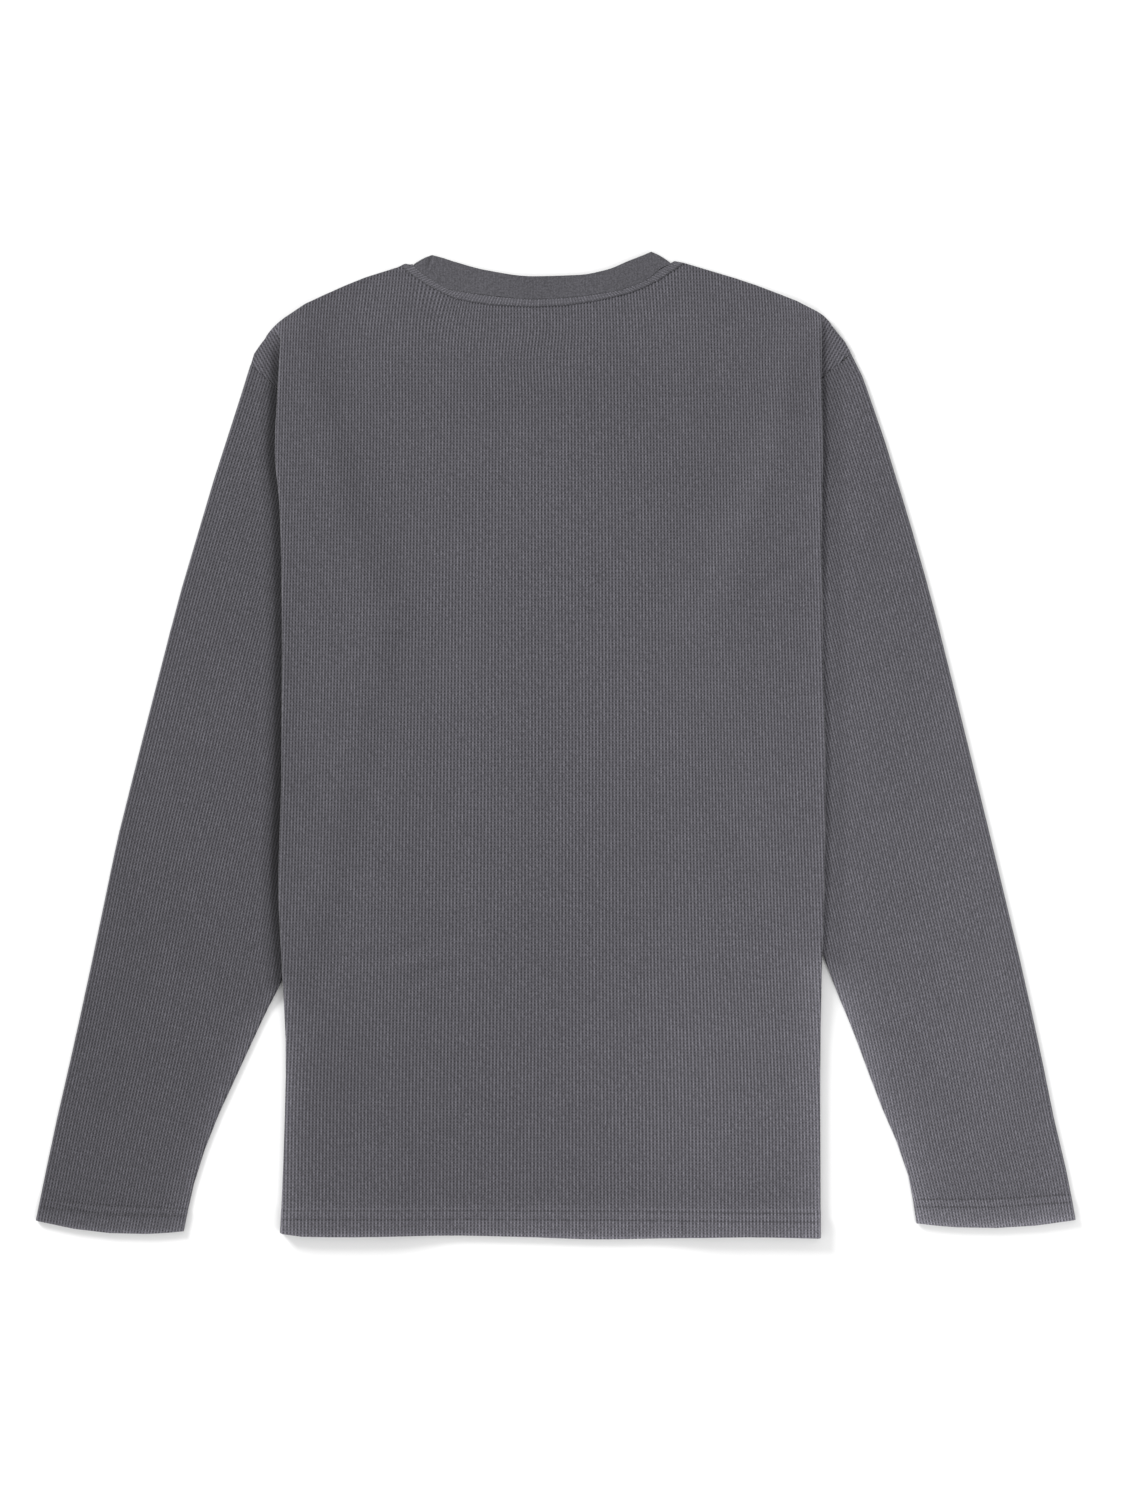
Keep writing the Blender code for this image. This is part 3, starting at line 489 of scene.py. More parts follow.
class Sleeve:
    """A flattened sleeve tube, as a patch between its cuff, its armhole and its two edges."""

    def __init__(self, side):
        self.side = side
        off = SEAM_GAP * math.sqrt(0.5)
        self.armhole = [Edge(row.out + off, row.y - off) for row in side.seam]
        self.armhole[-1] = Edge(self.armhole[-1].out + CORNER_ROOM, self.armhole[-1].y)
        self.outer = [self.armhole[0], *side.outer[1:]][::-1]
        self.inner = [self.armhole[-1], *side.inner[1:]][::-1]

    def at(self, across, up):
        """The point (out, y) this share across from the outer edge and up from the cuff."""
        outer, inner = edge_point(self.outer, up), edge_point(self.inner, up)
        armhole = along(self.armhole, across)
        sag = (0, self.side.sag * 4 * across * (1 - across))
        point = []
        for k in (0, 1):
            low = lerp(self.outer[0][k], self.inner[0][k], across)
            high = lerp(self.armhole[0][k], self.armhole[-1][k], across)
            ends = lerp(low - sag[k], armhole[k], up)
            point.append(lerp(outer[k], inner[k], across) + ends - lerp(low, high, up))
        return point

    def beside_fold(self, up, distance, first, last):
        """Where across the sleeve it is this far outside the body's fold, or its inner edge."""

        def past(across):
            out, y = self.at(across, up)
            return out - self.side.fold(y) - distance

        if past(last) > 0:
            return last
        if past(first) < 0:
            return first
        for _ in range(40):
            middle = (first + last) / 2
            first, last = (middle, last) if past(middle) > 0 else (first, middle)
        return first

    def columns(self, up, inset):
        """Where the section's points lie: close together where it climbs onto the body's fold."""
        width = math.dist(self.at(0, up), self.at(1, up))
        first, last = inset / width, 1 - inset / width
        found = [last]
        for k in (0, 1, 2):
            across = self.beside_fold(up, STEP_START + STEP_WIDTH * k / 2, first, last)
            room = min(STEP_ROOM, (found[-1] - first) / (6 - k))
            found.append(min(max(across, first + (5 - k) * LEAST_ROOM), found[-1] - room))
        outer = [lerp(first, found[-1], share) for share in (0, 1 / 3, 2 / 3)]
        middle = [lerp(found[1], last, share) for share in UNDER_SHARES]
        return outer + found[:0:-1] + middle + [last]


def sleeve_cloth(up):
    """The sleeve's wall, thicker at the cuff's turned hem."""
    depth = up * EVEN_REACH
    return lerp(HEM_CLOTH, CLOTH, ease((depth - CUFF_DEPTH + HEM_STEP) / HEM_STEP))


def sleeve_grid(side):
    """The sleeve's ring of points at each section: over the top, round, and back below."""
    patch = Sleeve(side)
    rows = []
    for up in SLEEVE_SECTIONS:
        cloth = sleeve_cloth(up)
        columns = patch.columns(up, cloth + GAP / 2)
        over, under = [], []
        for across in columns:
            out, y = patch.at(across, up)
            low = seat(3, side, out, y) + cloth / 2
            over.append((out, y, low + cloth + GAP))
            under.append((out, y, low))
        inner = sleeve_roll(patch, up, columns[-1], 1, over[-1], under[-1])
        outer = sleeve_roll(patch, up, columns[0], -1, under[0], over[0])
        ring = [(side.sign * out, y, z) for out, y, z in over + inner + under[::-1] + outer]
        rows.append(ring[:: -side.sign])
    return np.array(rows)


def sleeve_roll(patch, up, across, way, start, end):
    """The half turn round one edge of the sleeve, in line with its section."""
    before, after = patch.at(across - 0.01, up), patch.at(across + 0.01, up)
    size = math.dist(before, after) / way
    ahead = [(b - a) / size for a, b in zip(before, after)]
    turned = half_turn(start[2], end[2])
    return [(start[0] + ahead[0] * beyond, start[1] + ahead[1] * beyond, z) for beyond, z in turned]


def band_sections():
    """The neckband's sections (seam end, top end) round its ring: back, fold, front, fold."""
    low, high = BAND_CLOTH / 2, BAND_CLOTH * 1.5 + GAP
    ends = []
    for k, way in ((0, -1), (-1, 1)):
        seam, top = np.array(BACK_NECK[k]), np.array(BAND_TOP[k])
        size = math.dist(seam, top)
        away = np.array((top[1] - seam[1], seam[0] - top[0])) / size * way
        inset = (BAND_CLOTH + GAP / 2) * away
        ends.append((away, [lerp(seam, top, FOLD_RISE / size) - inset, top - inset]))
    (left_away, left), (right_away, right) = ends
    back, front = [], []
    for n in range(1 - BAND_SHARES, BAND_SHARES):
        side = LEFT if n < 0 else RIGHT
        x = n / BAND_SHARES * side.shoulder[0].out
        top_x = lerp(left[1][0], right[1][0], (x - left[0][0]) / (right[0][0] - left[0][0]))
        back_top = follow(BAND_TOP, "x", "y", top_x)
        front_top = scoop(top_x, left[1], right[1], FRONT_NECK_LOW + BAND_WIDTH, BAND_TOP_CURVE)
        back.append(((x, top_y(side, abs(x), False) + SEAM_GAP / 2), (top_x, back_top)))
        front.append(((x, front_neck(x) + SEAM_GAP / 2), (top_x, front_top)))
    found = [(line, high) for line in (left, *back, right)]
    found += [([p + right_away * beyond for p in right], z) for beyond, z in half_turn(high, low)]
    found += [(line, low) for line in (right, *front[::-1], left)]
    found += [([p + left_away * beyond for p in left], z) for beyond, z in half_turn(low, high)]
    return np.array([[(*p, z) for p in line] for line, z in found])


# The waffle knit
Stretch = namedtuple("Stretch", "y wale course narrowing")
# The body's knit from the hem up: from rib to rib at the middle, from bar to bar, and by what
# share the ribs lie closer at the wale that is HALF_WALES out.
STRETCHES = table(
    Stretch,
    (-360, 2.53, 2.26, 0.02), (-270, 2.52, 2.28, 0.03), (-140, 2.46, 2.36, 0.05),
    (60, 2.4, 2.46, 0.08), (250, 2.37, 2.49, 0.13), (350, 2.33, 2.5, 0.14),
)
HALF_WALES = 80
MOST_WALES = 92  # the body's grid reaches this far out from its middle
FIRST_COURSE_Y, LAST_COURSE_Y = -357.0, 352.0
COURSE_DRIFT = 0.6  # the bars wander this share as far as the ribs
SLEEVE_WALE = 2.17
SLEEVE_COURSE = 2.45
TURNED_PITCH = 2.3  # on the shoulders outside the body's folds
TURNED_BY = 30.0  # where the tuck turns the ribs by this angle
PIT = 0.45  # how deep each cell's middle lies below its ribs
EDGE_ROOM = 0.9  # whole cells stay this far from a piece's edge
UNDER_REACH = 7.0  # the sleeves' cells run this far in under the body's fold
SHOWN_ROOM = 8.0  # and farther in from this far below the notch
COARSE_REACH = 11.0  # and the plain wall starts this far in

# The neck's topstitching pulls the ribs square to the seam, less and less down the back.
NECK_HALF = 92.0
NECK_STEEP = 0.8  # the seam's steepness at the neck's ends
LEAN_SHARE = {-1: 0.75, 1: 0.2}  # of the seam's steepness, on the left and on the right
LEAN_DEPTH = 46.0  # the lean is lost over this depth below the seam
LEAN_FULL = 0.78  # from this share of the neck's half width
LEAN_FADE = 0.32  # and over this share of it
LEAN_LOST = 0.85  # the lean loses this share
LEAN_POWER = 2.2  # how late the seam turns steep, out from its middle
LEAN_BLEND = 0.3  # this share of it on each side of the middle takes the lean from side to side
LEAN_MOST = 1.15  # above the seam it grows to this share at most

# Where a patch of the ribs leans: how far to the right for each step up.
Twist = namedtuple("Twist", "x y across up slope")
TWISTS = table(
    Twist,
    (-15, 290, 34, 20, 0.13), (-128, 312, 34, 40, 0.08), (158, 290, 26, 26, 0.07),
)

# Slow drifts of the ribs: how far, over what distance across and up, and from where.
Drift = namedtuple("Drift", "far across up start")
DRIFTS = table(
    Drift,
    (0.45, 61.0, 190.0, 0.4), (0.3, -37.0, 88.0, 2.1), (0.22, 23.0, 143.0, 4.0),
)

# Soft troughs (depth below 0) and ridges in the cloth. `turn` is the long axis, from +X.
Crease = namedtuple("Crease", "x y length width turn depth")
BACK_CREASES = table(
    Crease,
    (-108, -148, 26, 5.5, 14, -0.7), (-100, -158, 31, 4.5, 9, 0.55), (-91, -166, 22, 5.0, 17, -0.5),
    (161, 121, 24, 4.2, 38, -0.75), (169, 112, 19, 5.0, 44, 0.4), (-126, 262, 40, 13, 62, 0.4),
    (88, 255, 46, 15, 118, 0.4), (-55, 82, 60, 17, 75, 0.35), (-156, -240, 70, 24, 81, -0.45),
    (-34, 238, 52, 13, 22, -0.3), (52, -60, 85, 26, 96, -0.3), (120, -236, 58, 19, 70, 0.35),
    (8, -286, 64, 15, 8, -0.3), (-42.5, -345, 6, 1.7, 92, -0.5), (91.5, -348, 6, 1.7, 88, -0.5),
)
# Painted shade: how much darker the hem is along its small creases.
HEM_CREASE_SHADE = [Crease(-42.5, -345, 6, 0.9, 92, -0.2), Crease(91, -346, 7, 1.0, 102, -0.4)]
BAND_CREASES = table(
    Crease,
    (-91.2, 348.3, 6, 1.5, 71, -0.7), (-88.6, 347.4, 5, 1.8, 71, 0.4),
)
BAND_CREASE_SHADE = [Crease(-91.0, 348.6, 5.5, 0.9, 71, -0.42)]  # painted shade: how much darker, along the crease
LEFT_CREASES = table(
    Crease,
    (-252, 118, 40, 8, 100, 0.5), (-283, -42, 52, 9, 108, -0.5), (-309, -196, 44, 11, 98, 0.45),
    (-330, -282, 30, 8, 120, -0.35),
)
RIGHT_CREASES = table(
    Crease,
    (240, 152, 36, 8, 76, -0.45), (276, -20, 58, 10, 72, 0.5), (304, -176, 47, 9, 80, -0.5),
    (322, -270, 33, 9, 60, 0.4),
)

# The rows of stitching, with x to the right.
NECK_ROW = table(
    Point,
    (-103.0, 337.0), (-92.9, 331.5), (-80.8, 325.2), (-72.0, 321.3), (-49.0, 317.2), (-17.3, 315.6),
    (5.8, 316.6), (29.5, 320.0), (52.6, 325.5), (63.2, 329.6), (74.2, 335.0), (82.5, 340.4),
    (91.2, 346.4),
)
# The strip that covers the back neck's seam, from the neckband down to NECK_ROW. Its ends
# run out to the shoulders' outline.
STRIP_TOP = [Point(-103.8, 347.0), *BACK_NECK[1:-1], Point(85.4, 349.2)]
STRIP_LOW = [Point(-111.4, 345.2), Point(-106.0, 340.2), *NECK_ROW[1:-1], Point(93.4, 347.6)]
STRIP_RIB = 2.2
STRIP_RISE = 0.55  # at its ribs, over the back
STRIP_GROOVE = 0.47
STRIP_UNDER = 0.03  # its lower face, just off the back
# The strip's points across it: the share of its width, how much of the rise, and how dark, with painted
# shade at its two edges.
Edging = namedtuple("Edging", "share rise tone")
STRIP_EDGES = table(
    Edging,
    (0.0, 0.1, 0.62), (0.05, 0.7, 0.9), (0.14, 1.0, 1.1), (0.5, 1.0, 1.1), (0.86, 1.0, 1.1),
    (0.95, 0.7, 0.9), (1.0, 0.1, 0.58),
)
STRIP_ROWS = (0.12, 0.86)  # where the two rows of stitching lie across it
STRIP_SPANS = 30  # straight lengths in such a row
HEM_ROWS = [
    [Point(-197, -335.2), Point(-60, -335.6), Point(188, -337.0)],
    [Point(-197, -341.3), Point(-60, -341.8), Point(188, -343.4)],
]
LEFT_CUFF_ROWS = [
    [Point(-369.4, -327.6), Point(-334.8, -331.2), Point(-268.0, -334.1)],
    [Point(-370.8, -333.0), Point(-321.8, -338.1), Point(-268.6, -339.4)],
]
RIGHT_CUFF_ROWS = [
    [Point(257.6, -327.6), Point(312.0, -327.4), Point(369.6, -324.0)],
    [Point(258.2, -332.8), Point(312.0, -333.0), Point(371.4, -329.4)],
]
ROW_SINK = 0.3  # a row of stitching pulls the cloth down
ROW_HALF = 1.5
HEM_ROUND = 2.0  # the radius of the body's lower corners
FOLD_DIP = {-1: 0.5, 1: 0.15}  # the sleeve dips this much where it goes under the body's fold
DIP_REACH = 3.5
SHADE_REACH = {-1: 17.0, 1: 11.0}  # how far beside each fold the cloth is in its shade
FAR = 50.0  # farther from any row of stitching than it shows
STRIP_HALF = 104.0  # the neck's strip reaches this far from the neck's middle
ARMHOLE_LEAN = 0.76  # a distance up the page, as one square to the armhole seam
SHADE_TOP = (16, 8)  # the shade beside a fold fades from below to above the fold's upper end
SHADE_FOOT = (2, 9)  # and over this stretch below the notch
THIRD_TOP = 6.6  # outside the body's folds the third layer lies lower than this

# Where the cloth is paler or darker, as gaussians with this share at their middle. Part is tone that
# differs at random, part is painted light that brightens the right and the lower right and dims the
# left, and part is painted shade beside the left fold.
Patch = namedtuple("Patch", "x y across up share")
TONE_AND_LIGHT_PATCHES = table(
    Patch,
    (92, 290, 44, 50, 0.07), (30, 262, 150, 56, -0.05), (-196, 0, 20, 150, -0.08),
    (-150, 200, 60, 190, -0.07), (60, 20, 42, 64, 0.06), (165, -100, 60, 230, 0.08),
    (-156, -240, 34, 70, -0.08), (-160, -346, 80, 10, -0.12), (110, -250, 90, 120, 0.17),
    (-330, -200, 60, 160, -0.06), (320, -220, 60, 150, 0.15), (372, -296, 22, 60, 0.2),
    (300, 10, 34, 110, 0.07), (234, 170, 30, 90, -0.07), (172, 262, 20, 30, -0.07),
)
HEM_TONE = 1.27
HEM_TONED = (324, 345)  # how far down the hem and the cuffs change tone
CUFF_TONED = (322, 334)
# Painted highlights along the cloth's edges: how much paler it is there, and how far in: the body's
# above and below the underarm's notch, and the sleeves' inner edges.
RimHighlight = namedtuple("RimHighlight", "share reach")
BODY_RIM_HIGHLIGHTS = {
    -1: (RimHighlight(0.0, 8.0), RimHighlight(0.5, 7.0)),
    1: (RimHighlight(0.22, 10.0), RimHighlight(0.62, 12.0)),
}
SLEEVE_RIM_HIGHLIGHTS = {-1: RimHighlight(0.4, 9.0), 1: RimHighlight(0.6, 12.0)}
RIM_HIGHLIGHT_CHANGE = (-12, 18)  # the body's edges change over this stretch below the notch
# How deep the shade beside each fold is, from the underarm up.
Shade = namedtuple("Shade", "y left right")
SHADES = table(
    Shade,
    (-160, 0.76, 0.2), (-83, 1.0, 0.16), (4, 0.95, 0.12), (90, 0.85, 0.0), (176, 0.87, 0.44),
    (263, 0.93, 0.44),
)
# How pale each cuff is; the right is paler than the left as painted light, which brightens toward the
# right.
CUFF_TONE = {-1: 0.98, 1: 1.1}
CUFF_LOW = 0.13  # a cuff is this much brighter still below its stitching
CUFF_LOWERED = (1, 5)  # over this stretch
LIP_TONE = 0.5  # a hem catches the light along its edge
LIP_REACH = 2.2
LIP_DOWN = 12.6  # from the lower row of stitching to the edge
STITCH = 2.5
STITCH_GAP = 0.7
THREAD = 0.24  # the thread's radius
THREAD_SIDES = 6
ROW_SAMPLES = 400  # points at which a row's length is measured
# A stitch's rings: the share of its length, how high it lies, and its share of the radius.
Bend = namedtuple("Bend", "share rise size")
BENDS = table(Bend, (0, -0.22, 0.5), (0.28, 0.1, 1), (0.72, 0.1, 1), (1, -0.22, 0.5))

# The neckband
BAND_ROWS = 12
BAND_SHARES = 100
BAND_BULGE = 0.9  # the folded ends bow outward this far
BAND_CORNER = 0.9  # and their tips are rounded off this far
BAND_TIP = 0.75  # from this share of the band's width
BAND_END = 5.0
BAND_WALE, BAND_COURSE = 1.1, 1.3

SHARP_ANGLE = 62  # degrees between faces, from which an edge stays sharp
SAMPLE_OUT = 4.0  # between the samples of the back's height, across
SAMPLE_STEPS = 4  # samples from row to row


class Shell:
    """A closed wall of cloth being put together, with its knit's coordinates."""

    def __init__(self, name):
        self.name = name
        self.points = []
        self.knit = []  # a wale and a course for each point, or None
        self.faces = []
        self.maps = []  # for each face, what gives its corners' knit, or None for the points' own
        self.tone = None  # from points to how pale each is
        self.shade = None  # from points to how deep the shade beside a fold is
        self.sewing = None  # from points to the distances of two rows of stitching and a fold

    def add(self, point, knit=None):
        self.points.append(tuple(point))
        self.knit.append(knit)
        return len(self.points) - 1

    def face(self, corners, knit_at=None):
        self.faces.append(tuple(corners))
        self.maps.append(knit_at)

    def build(self, shift):
        points = np.array(self.points)
        mesh = bpy.data.meshes.new(self.name)
        mesh.from_pydata(((points + shift) * MM).tolist(), [], self.faces)
        knit = []
        for corners, knit_at in zip(self.faces, self.maps):
            for corner in corners:
                own = knit_at(self.points[corner]) if knit_at else self.knit[corner]
                knit.append((own[0], own[1], 0))
        one = np.ones(len(points))
        sewing = self.sewing(points) if self.sewing else np.full(points.shape, FAR)
        for name, kind, domain, field, values in (
            ("knit", "FLOAT_VECTOR", "CORNER", "vector", knit),
            ("tone", "FLOAT", "POINT", "value", self.tone(points) if self.tone else one),
            ("shade", "FLOAT", "POINT", "value", self.shade(points) if self.shade else one),
            ("sewing", "FLOAT_VECTOR", "POINT", "vector", sewing),
        ):
            made = mesh.attributes.new(name, kind, domain)
            made.data.foreach_set(field, np.array(values, np.float32).ravel())
        mesh.shade_smooth()
        mesh.set_sharp_from_angle(angle=math.radians(SHARP_ANGLE))
        thing = bpy.data.objects.new(self.name, mesh)
        bpy.context.scene.collection.objects.link(thing)
        return thing


def wall(shell, grid, thick, knit_at, ring=False, block=None):
    """A closed wall round a grid of middle points, where not-a-number is left out.

    Inside the block of columns (first, last) the upper side is left open. Returns the open
    loop of points, and the grid of the upper side's points.
    """
    half = thick / 2 * normals(grid, ring)
    sides = (grid + half, grid - half)
    rows, columns = grid.shape[:2]
    index = {}

    def at(side, j, i):
        if (side, j, i) not in index:
            index[side, j, i] = shell.add(sides[side][j, i])
        return index[side, j, i]

    edges = set()
    for j in range(rows - 1):
        for i in range(columns if ring else columns - 1):
            beyond = (i + 1) % columns
            corners = [(j, i), (j, beyond), (j + 1, beyond), (j + 1, i)]
            places = [grid[corner] for corner in corners]
            if np.isnan(places).any():
                continue
            if math.dist(places[1], places[3]) < math.dist(places[0], places[2]):
                corners = corners[1:] + corners[:1]
            knit = knit_at(j, i)
            for triangle in (corners[:3], [corners[0], *corners[2:]]):
                if not (block and block[0] <= i < block[1]):
                    shell.face([at(0, *corner) for corner in triangle], knit)
                shell.face([at(1, *corner) for corner in triangle[::-1]], knit)
                edges.update(zip(triangle, triangle[1:] + triangle[:1]))
    for a, b in sorted(edges):
        if (b, a) not in edges:
            shell.face([at(0, *b), at(0, *a), at(1, *a), at(1, *b)], knit_at(*min(a, b)))
    if not block:
        return None, sides[0]
    first, last = block
    around = [(0, i) for i in range(first, last + 1)] + [(j, last) for j in range(1, rows)]
    around += [(rows - 1, i) for i in range(last - 1, first - 1, -1)]
    around += [(j, first) for j in range(rows - 2, 0, -1)]
    return [at(0, *key) for key in around], sides[0]


def clear_of(points, loop, margin):
    """Which points lie inside a closed loop, at least this far from it."""
    x, y = points[:, 0], points[:, 1]
    inside = np.zeros(len(points), bool)
    near = np.full(len(points), np.inf)
    for (ax, ay), (bx, by) in zip(loop, np.roll(loop, -1, axis=0)):
        dx, dy = bx - ax, by - ay
        if ay != by:
            inside ^= ((ay > y) != (by > y)) & (x < ax + (y - ay) / dy * dx)
        along_it = np.clip(((x - ax) * dx + (y - ay) * dy) / (dx * dx + dy * dy), 0, 1)
        near = np.minimum(near, np.hypot(x - ax - along_it * dx, y - ay - along_it * dy))
    return inside & (near >= margin)


def waffle(shell, loop, grid, shown, height, knit_of, extra=()):
    """Fills an open loop of a shell with waffle knit.

    grid[i][j] is where wale i crosses course j. Each whole cell has a pit at its middle, and
    the strip that is left round the edge is filled with triangles.
    """
    outline = np.array([shell.points[k][:2] for k in loop])
    flat = grid.reshape(-1, 2)
    keep = clear_of(flat, outline, EDGE_ROOM)
    if shown:
        keep &= shown(flat[:, 0], flat[:, 1])
    keep = keep.reshape(grid.shape[:2])
    whole = keep[:-1, :-1] & keep[1:, :-1] & keep[1:, 1:] & keep[:-1, 1:]
    used = np.zeros(keep.shape, bool)
    for di, dj in ((0, 0), (1, 0), (1, 1), (0, 1)):
        used[di : di + whole.shape[0], dj : dj + whole.shape[1]] |= whole
    z = height(flat[:, 0], flat[:, 1]).reshape(keep.shape)
    number = np.full(keep.shape, -1)
    for i, j in zip(*np.nonzero(used)):
        number[i, j] = shell.add((*grid[i, j], z[i, j]), (i, j))
    a, b = grid[1, 0] - grid[0, 0], grid[0, 1] - grid[0, 0]
    left_handed = a[0] * b[1] - a[1] * b[0] < 0
    for i, j in zip(*np.nonzero(whole)):
        corners = [(i, j), (i + 1, j), (i + 1, j + 1), (i, j + 1)]
        if left_handed:
            corners.reverse()
        middle = sum(grid[c] for c in corners) / 4
        low = sum(z[c] for c in corners) / 4 - PIT
        pit = shell.add((*middle, low), (i + 0.5, j + 0.5))
        ring = [number[c] for c in corners]
        for k in range(4):
            shell.face((ring[k], ring[(k + 1) % 4], pit))
    stairs = stair_edges(whole, number)
    fill_strip(shell, loop, stairs, extra, knit_of)


def stair_edges(whole, number):
    """The edges round the outside of the whole cells, as pairs of point numbers."""
    stairs = []
    padded = np.pad(whole, 1)
    for i, j in zip(*np.nonzero(padded[1:, 1:-1] != padded[:-1, 1:-1])):
        stairs.append((number[i, j], number[i, j + 1]))
    for i, j in zip(*np.nonzero(padded[1:-1, 1:] != padded[1:-1, :-1])):
        stairs.append((number[i, j], number[i + 1, j]))
    return stairs


def fill_strip(shell, loop, stairs, extra, knit_of):
    """Triangles between an open loop and the outside of the whole cells."""
    numbers = list(dict.fromkeys([*loop, *(k for pair in stairs for k in pair), *extra]))
    place = {k: n for n, k in enumerate(numbers)}
    rim = [(place[a], place[b]) for a, b in zip(loop, loop[1:] + loop[:1])]
    walls = [(place[a], place[b]) for a, b in stairs]
    flat = [Vector(shell.points[k][:2]) for k in numbers]
    found = delaunay_2d_cdt(flat, rim + walls, [], 1, 1e-7, True)
    own = [min(source) if source else None for source in found[3]]
    place_of = np.array([point[:] for point in flat])
    triangles = [[own[k] for k in face] for face in found[2]]
    outline = place_of[[place[k] for k in loop]]
    within = clear_of(place_of[np.array(triangles)].mean(axis=1), outline, 0.0)
    triangles = [triangle for triangle, inside in zip(triangles, within) if inside]
    beside = {}
    for n, triangle in enumerate(triangles):
        for a, b in zip(triangle, triangle[1:] + triangle[:1]):
            beside.setdefault(frozenset((a, b)), []).append(n)
    closed = {frozenset(pair) for pair in walls}
    todo = [n for pair in rim for n in beside.get(frozenset(pair), [])]
    taken = set(todo)
    while todo:
        triangle = triangles[todo.pop()]
        for a, b in zip(triangle, triangle[1:] + triangle[:1]):
            edge = frozenset((a, b))
            if edge in closed:
                continue
            for n in beside[edge]:
                if n not in taken:
                    taken.add(n)
                    todo.append(n)
    for k in numbers:
        if shell.knit[k] is None:
            shell.knit[k] = knit_of(*shell.points[k][:2])
    for n in sorted(taken):
        a, b, c = (numbers[k] for k in triangles[n])
        (ax, ay), (bx, by), (cx, cy) = (shell.points[k][:2] for k in (a, b, c))
        if (bx - ax) * (cy - ay) - (by - ay) * (cx - ax) < 0:
            b, c = c, b
        shell.face((a, b, c))


def creased(creases, x, y):
    """How far the creases move the cloth up at each point."""
    total = np.zeros_like(x)
    for crease in creases:
        turn = math.radians(crease.turn)
        dx, dy = x - crease.x, y - crease.y
        a = (dx * math.cos(turn) + dy * math.sin(turn)) / crease.length
        b = (dy * math.cos(turn) - dx * math.sin(turn)) / crease.width
        total += crease.depth * np.exp(-a * a - b * b)
    return total


def above(row, x, y):
    """How far each point lies above a row of points."""
    return y - np.interp(x, [p.x for p in row], [p.y for p in row])


def sewn(rows, x, y):
    """How far the rows of stitching pull the cloth down at each point."""
    return sum(ROW_SINK * np.exp(-((above(row, x, y) / ROW_HALF) ** 2)) for row in rows)


def smooth(value, low, high):
    """A smooth step from 0 at low to 1 at high."""
    return ease((value - low) / (high - low))


def patched_tone_and_light(x, y):
    """How pale the cloth is at each point, with the patches' painted light and shade."""
    tone = np.ones_like(x)
    for patch in TONE_AND_LIGHT_PATCHES:
        a, b = (x - patch.x) / patch.across, (y - patch.y) / patch.up
        tone += patch.share * np.exp(-(a**2) - b**2)
    return tone


CURVE_Y = np.arange(-364.0, 330.0, 4.0)
FOLD_LINE = {side.sign: np.array([side.fold(y) for y in CURVE_Y]) for side in (LEFT, RIGHT)}


def past_fold(side, x, y):
    """How far each point lies outside the body's fold."""
    return side.sign * x - np.interp(y, CURVE_Y, FOLD_LINE[side.sign])


def shade_depth(points):
    """How deep the shade beside a fold is at each point, which fades at the fold's ends."""
    x, y = points[:, 0], points[:, 1]
    found = []
    for side, column in ((LEFT, 1), (RIGHT, 2)):
        depth = np.interp(y, [row.y for row in SHADES], [row[column] for row in SHADES])
        top = smooth(y, side.top_y - SHADE_TOP[0], side.top_y + SHADE_TOP[1])
        foot = smooth(side.notch_y - y, SHADE_FOOT[0], SHADE_FOOT[1])
        found.append(depth * (1 - top) * (1 - foot))
    return np.where(x < 0, *found)


def sewing_distances(points, rows, other):
    """The distances to two rows of stitching, or above the page's middle to `other`."""
    x, y = points[:, 0], points[:, 1]
    return [np.where(y < 0, above(row, x, y), far) for row, far in zip(rows, (other, FAR))]


def armhole_seam(side, x, y):
    """How far each point lies from the armhole seam."""
    seam = sorted(Point(side.sign * edge.out, edge.y) for edge in side.seam[:4])
    return above(seam, x, y) * ARMHOLE_LEAN


def drifted(x, y):
    """How far the ribs wander to the side."""
    total = np.zeros_like(x)
    for drift in DRIFTS:
        total += drift.far * np.sin(x / drift.across + y / drift.up + drift.start)
    return total


NECK_X = np.arange(-140.0, 130.0, 2.0)
NECK_Y = np.array([follow(BACK_NECK, "x", "y", x) for x in NECK_X])


def lean(x, y):
    """How far the neck's seam pulls the ribs to the side, and the twists beside it."""
    q = (x - CENTRE_X) / NECK_HALF
    steep = NECK_STEEP * np.sign(q) * np.minimum(np.abs(q), 1) ** LEAN_POWER
    steep = steep * (1 - LEAN_LOST * smooth(np.abs(q), LEAN_FULL, LEAN_FULL + LEAN_FADE))
    share = lerp(LEAN_SHARE[-1], LEAN_SHARE[1], smooth(q, -LEAN_BLEND, LEAN_BLEND))
    near = np.clip(1 - (np.interp(x, NECK_X, NECK_Y) - y) / LEAN_DEPTH, 0, LEAN_MOST)
    moved = -share * steep * LEAN_DEPTH * near * near / 2
    for twist in TWISTS:
        dx, dy = (x - twist.x) / twist.across, (y - twist.y) / twist.up
        moved = moved + twist.slope * (y - twist.y) * np.exp(-dx * dx - dy * dy)
    return moved


# ---- the body ----


def first_out(side, y):
    """Where the top layer's level part ends, at the start of the fold's roll."""
    low = min(y, side.top_y)
    return side.fold(low) - (body_cloth(low) * 2 + GAP) / 2


def course_rows():
    """The height of each course, from the hem up."""
    rows = [FIRST_COURSE_Y]
    while rows[-1] < LAST_COURSE_Y:
        rows.append(rows[-1] + follow(STRETCHES, "y", "course", rows[-1]))
    return np.array(rows)


COURSE_Y = course_rows()
COURSE_WALE = np.array([follow(STRETCHES, "y", "wale", y) for y in COURSE_Y])
COURSE_NARROWING = np.array([follow(STRETCHES, "y", "narrowing", y) for y in COURSE_Y])


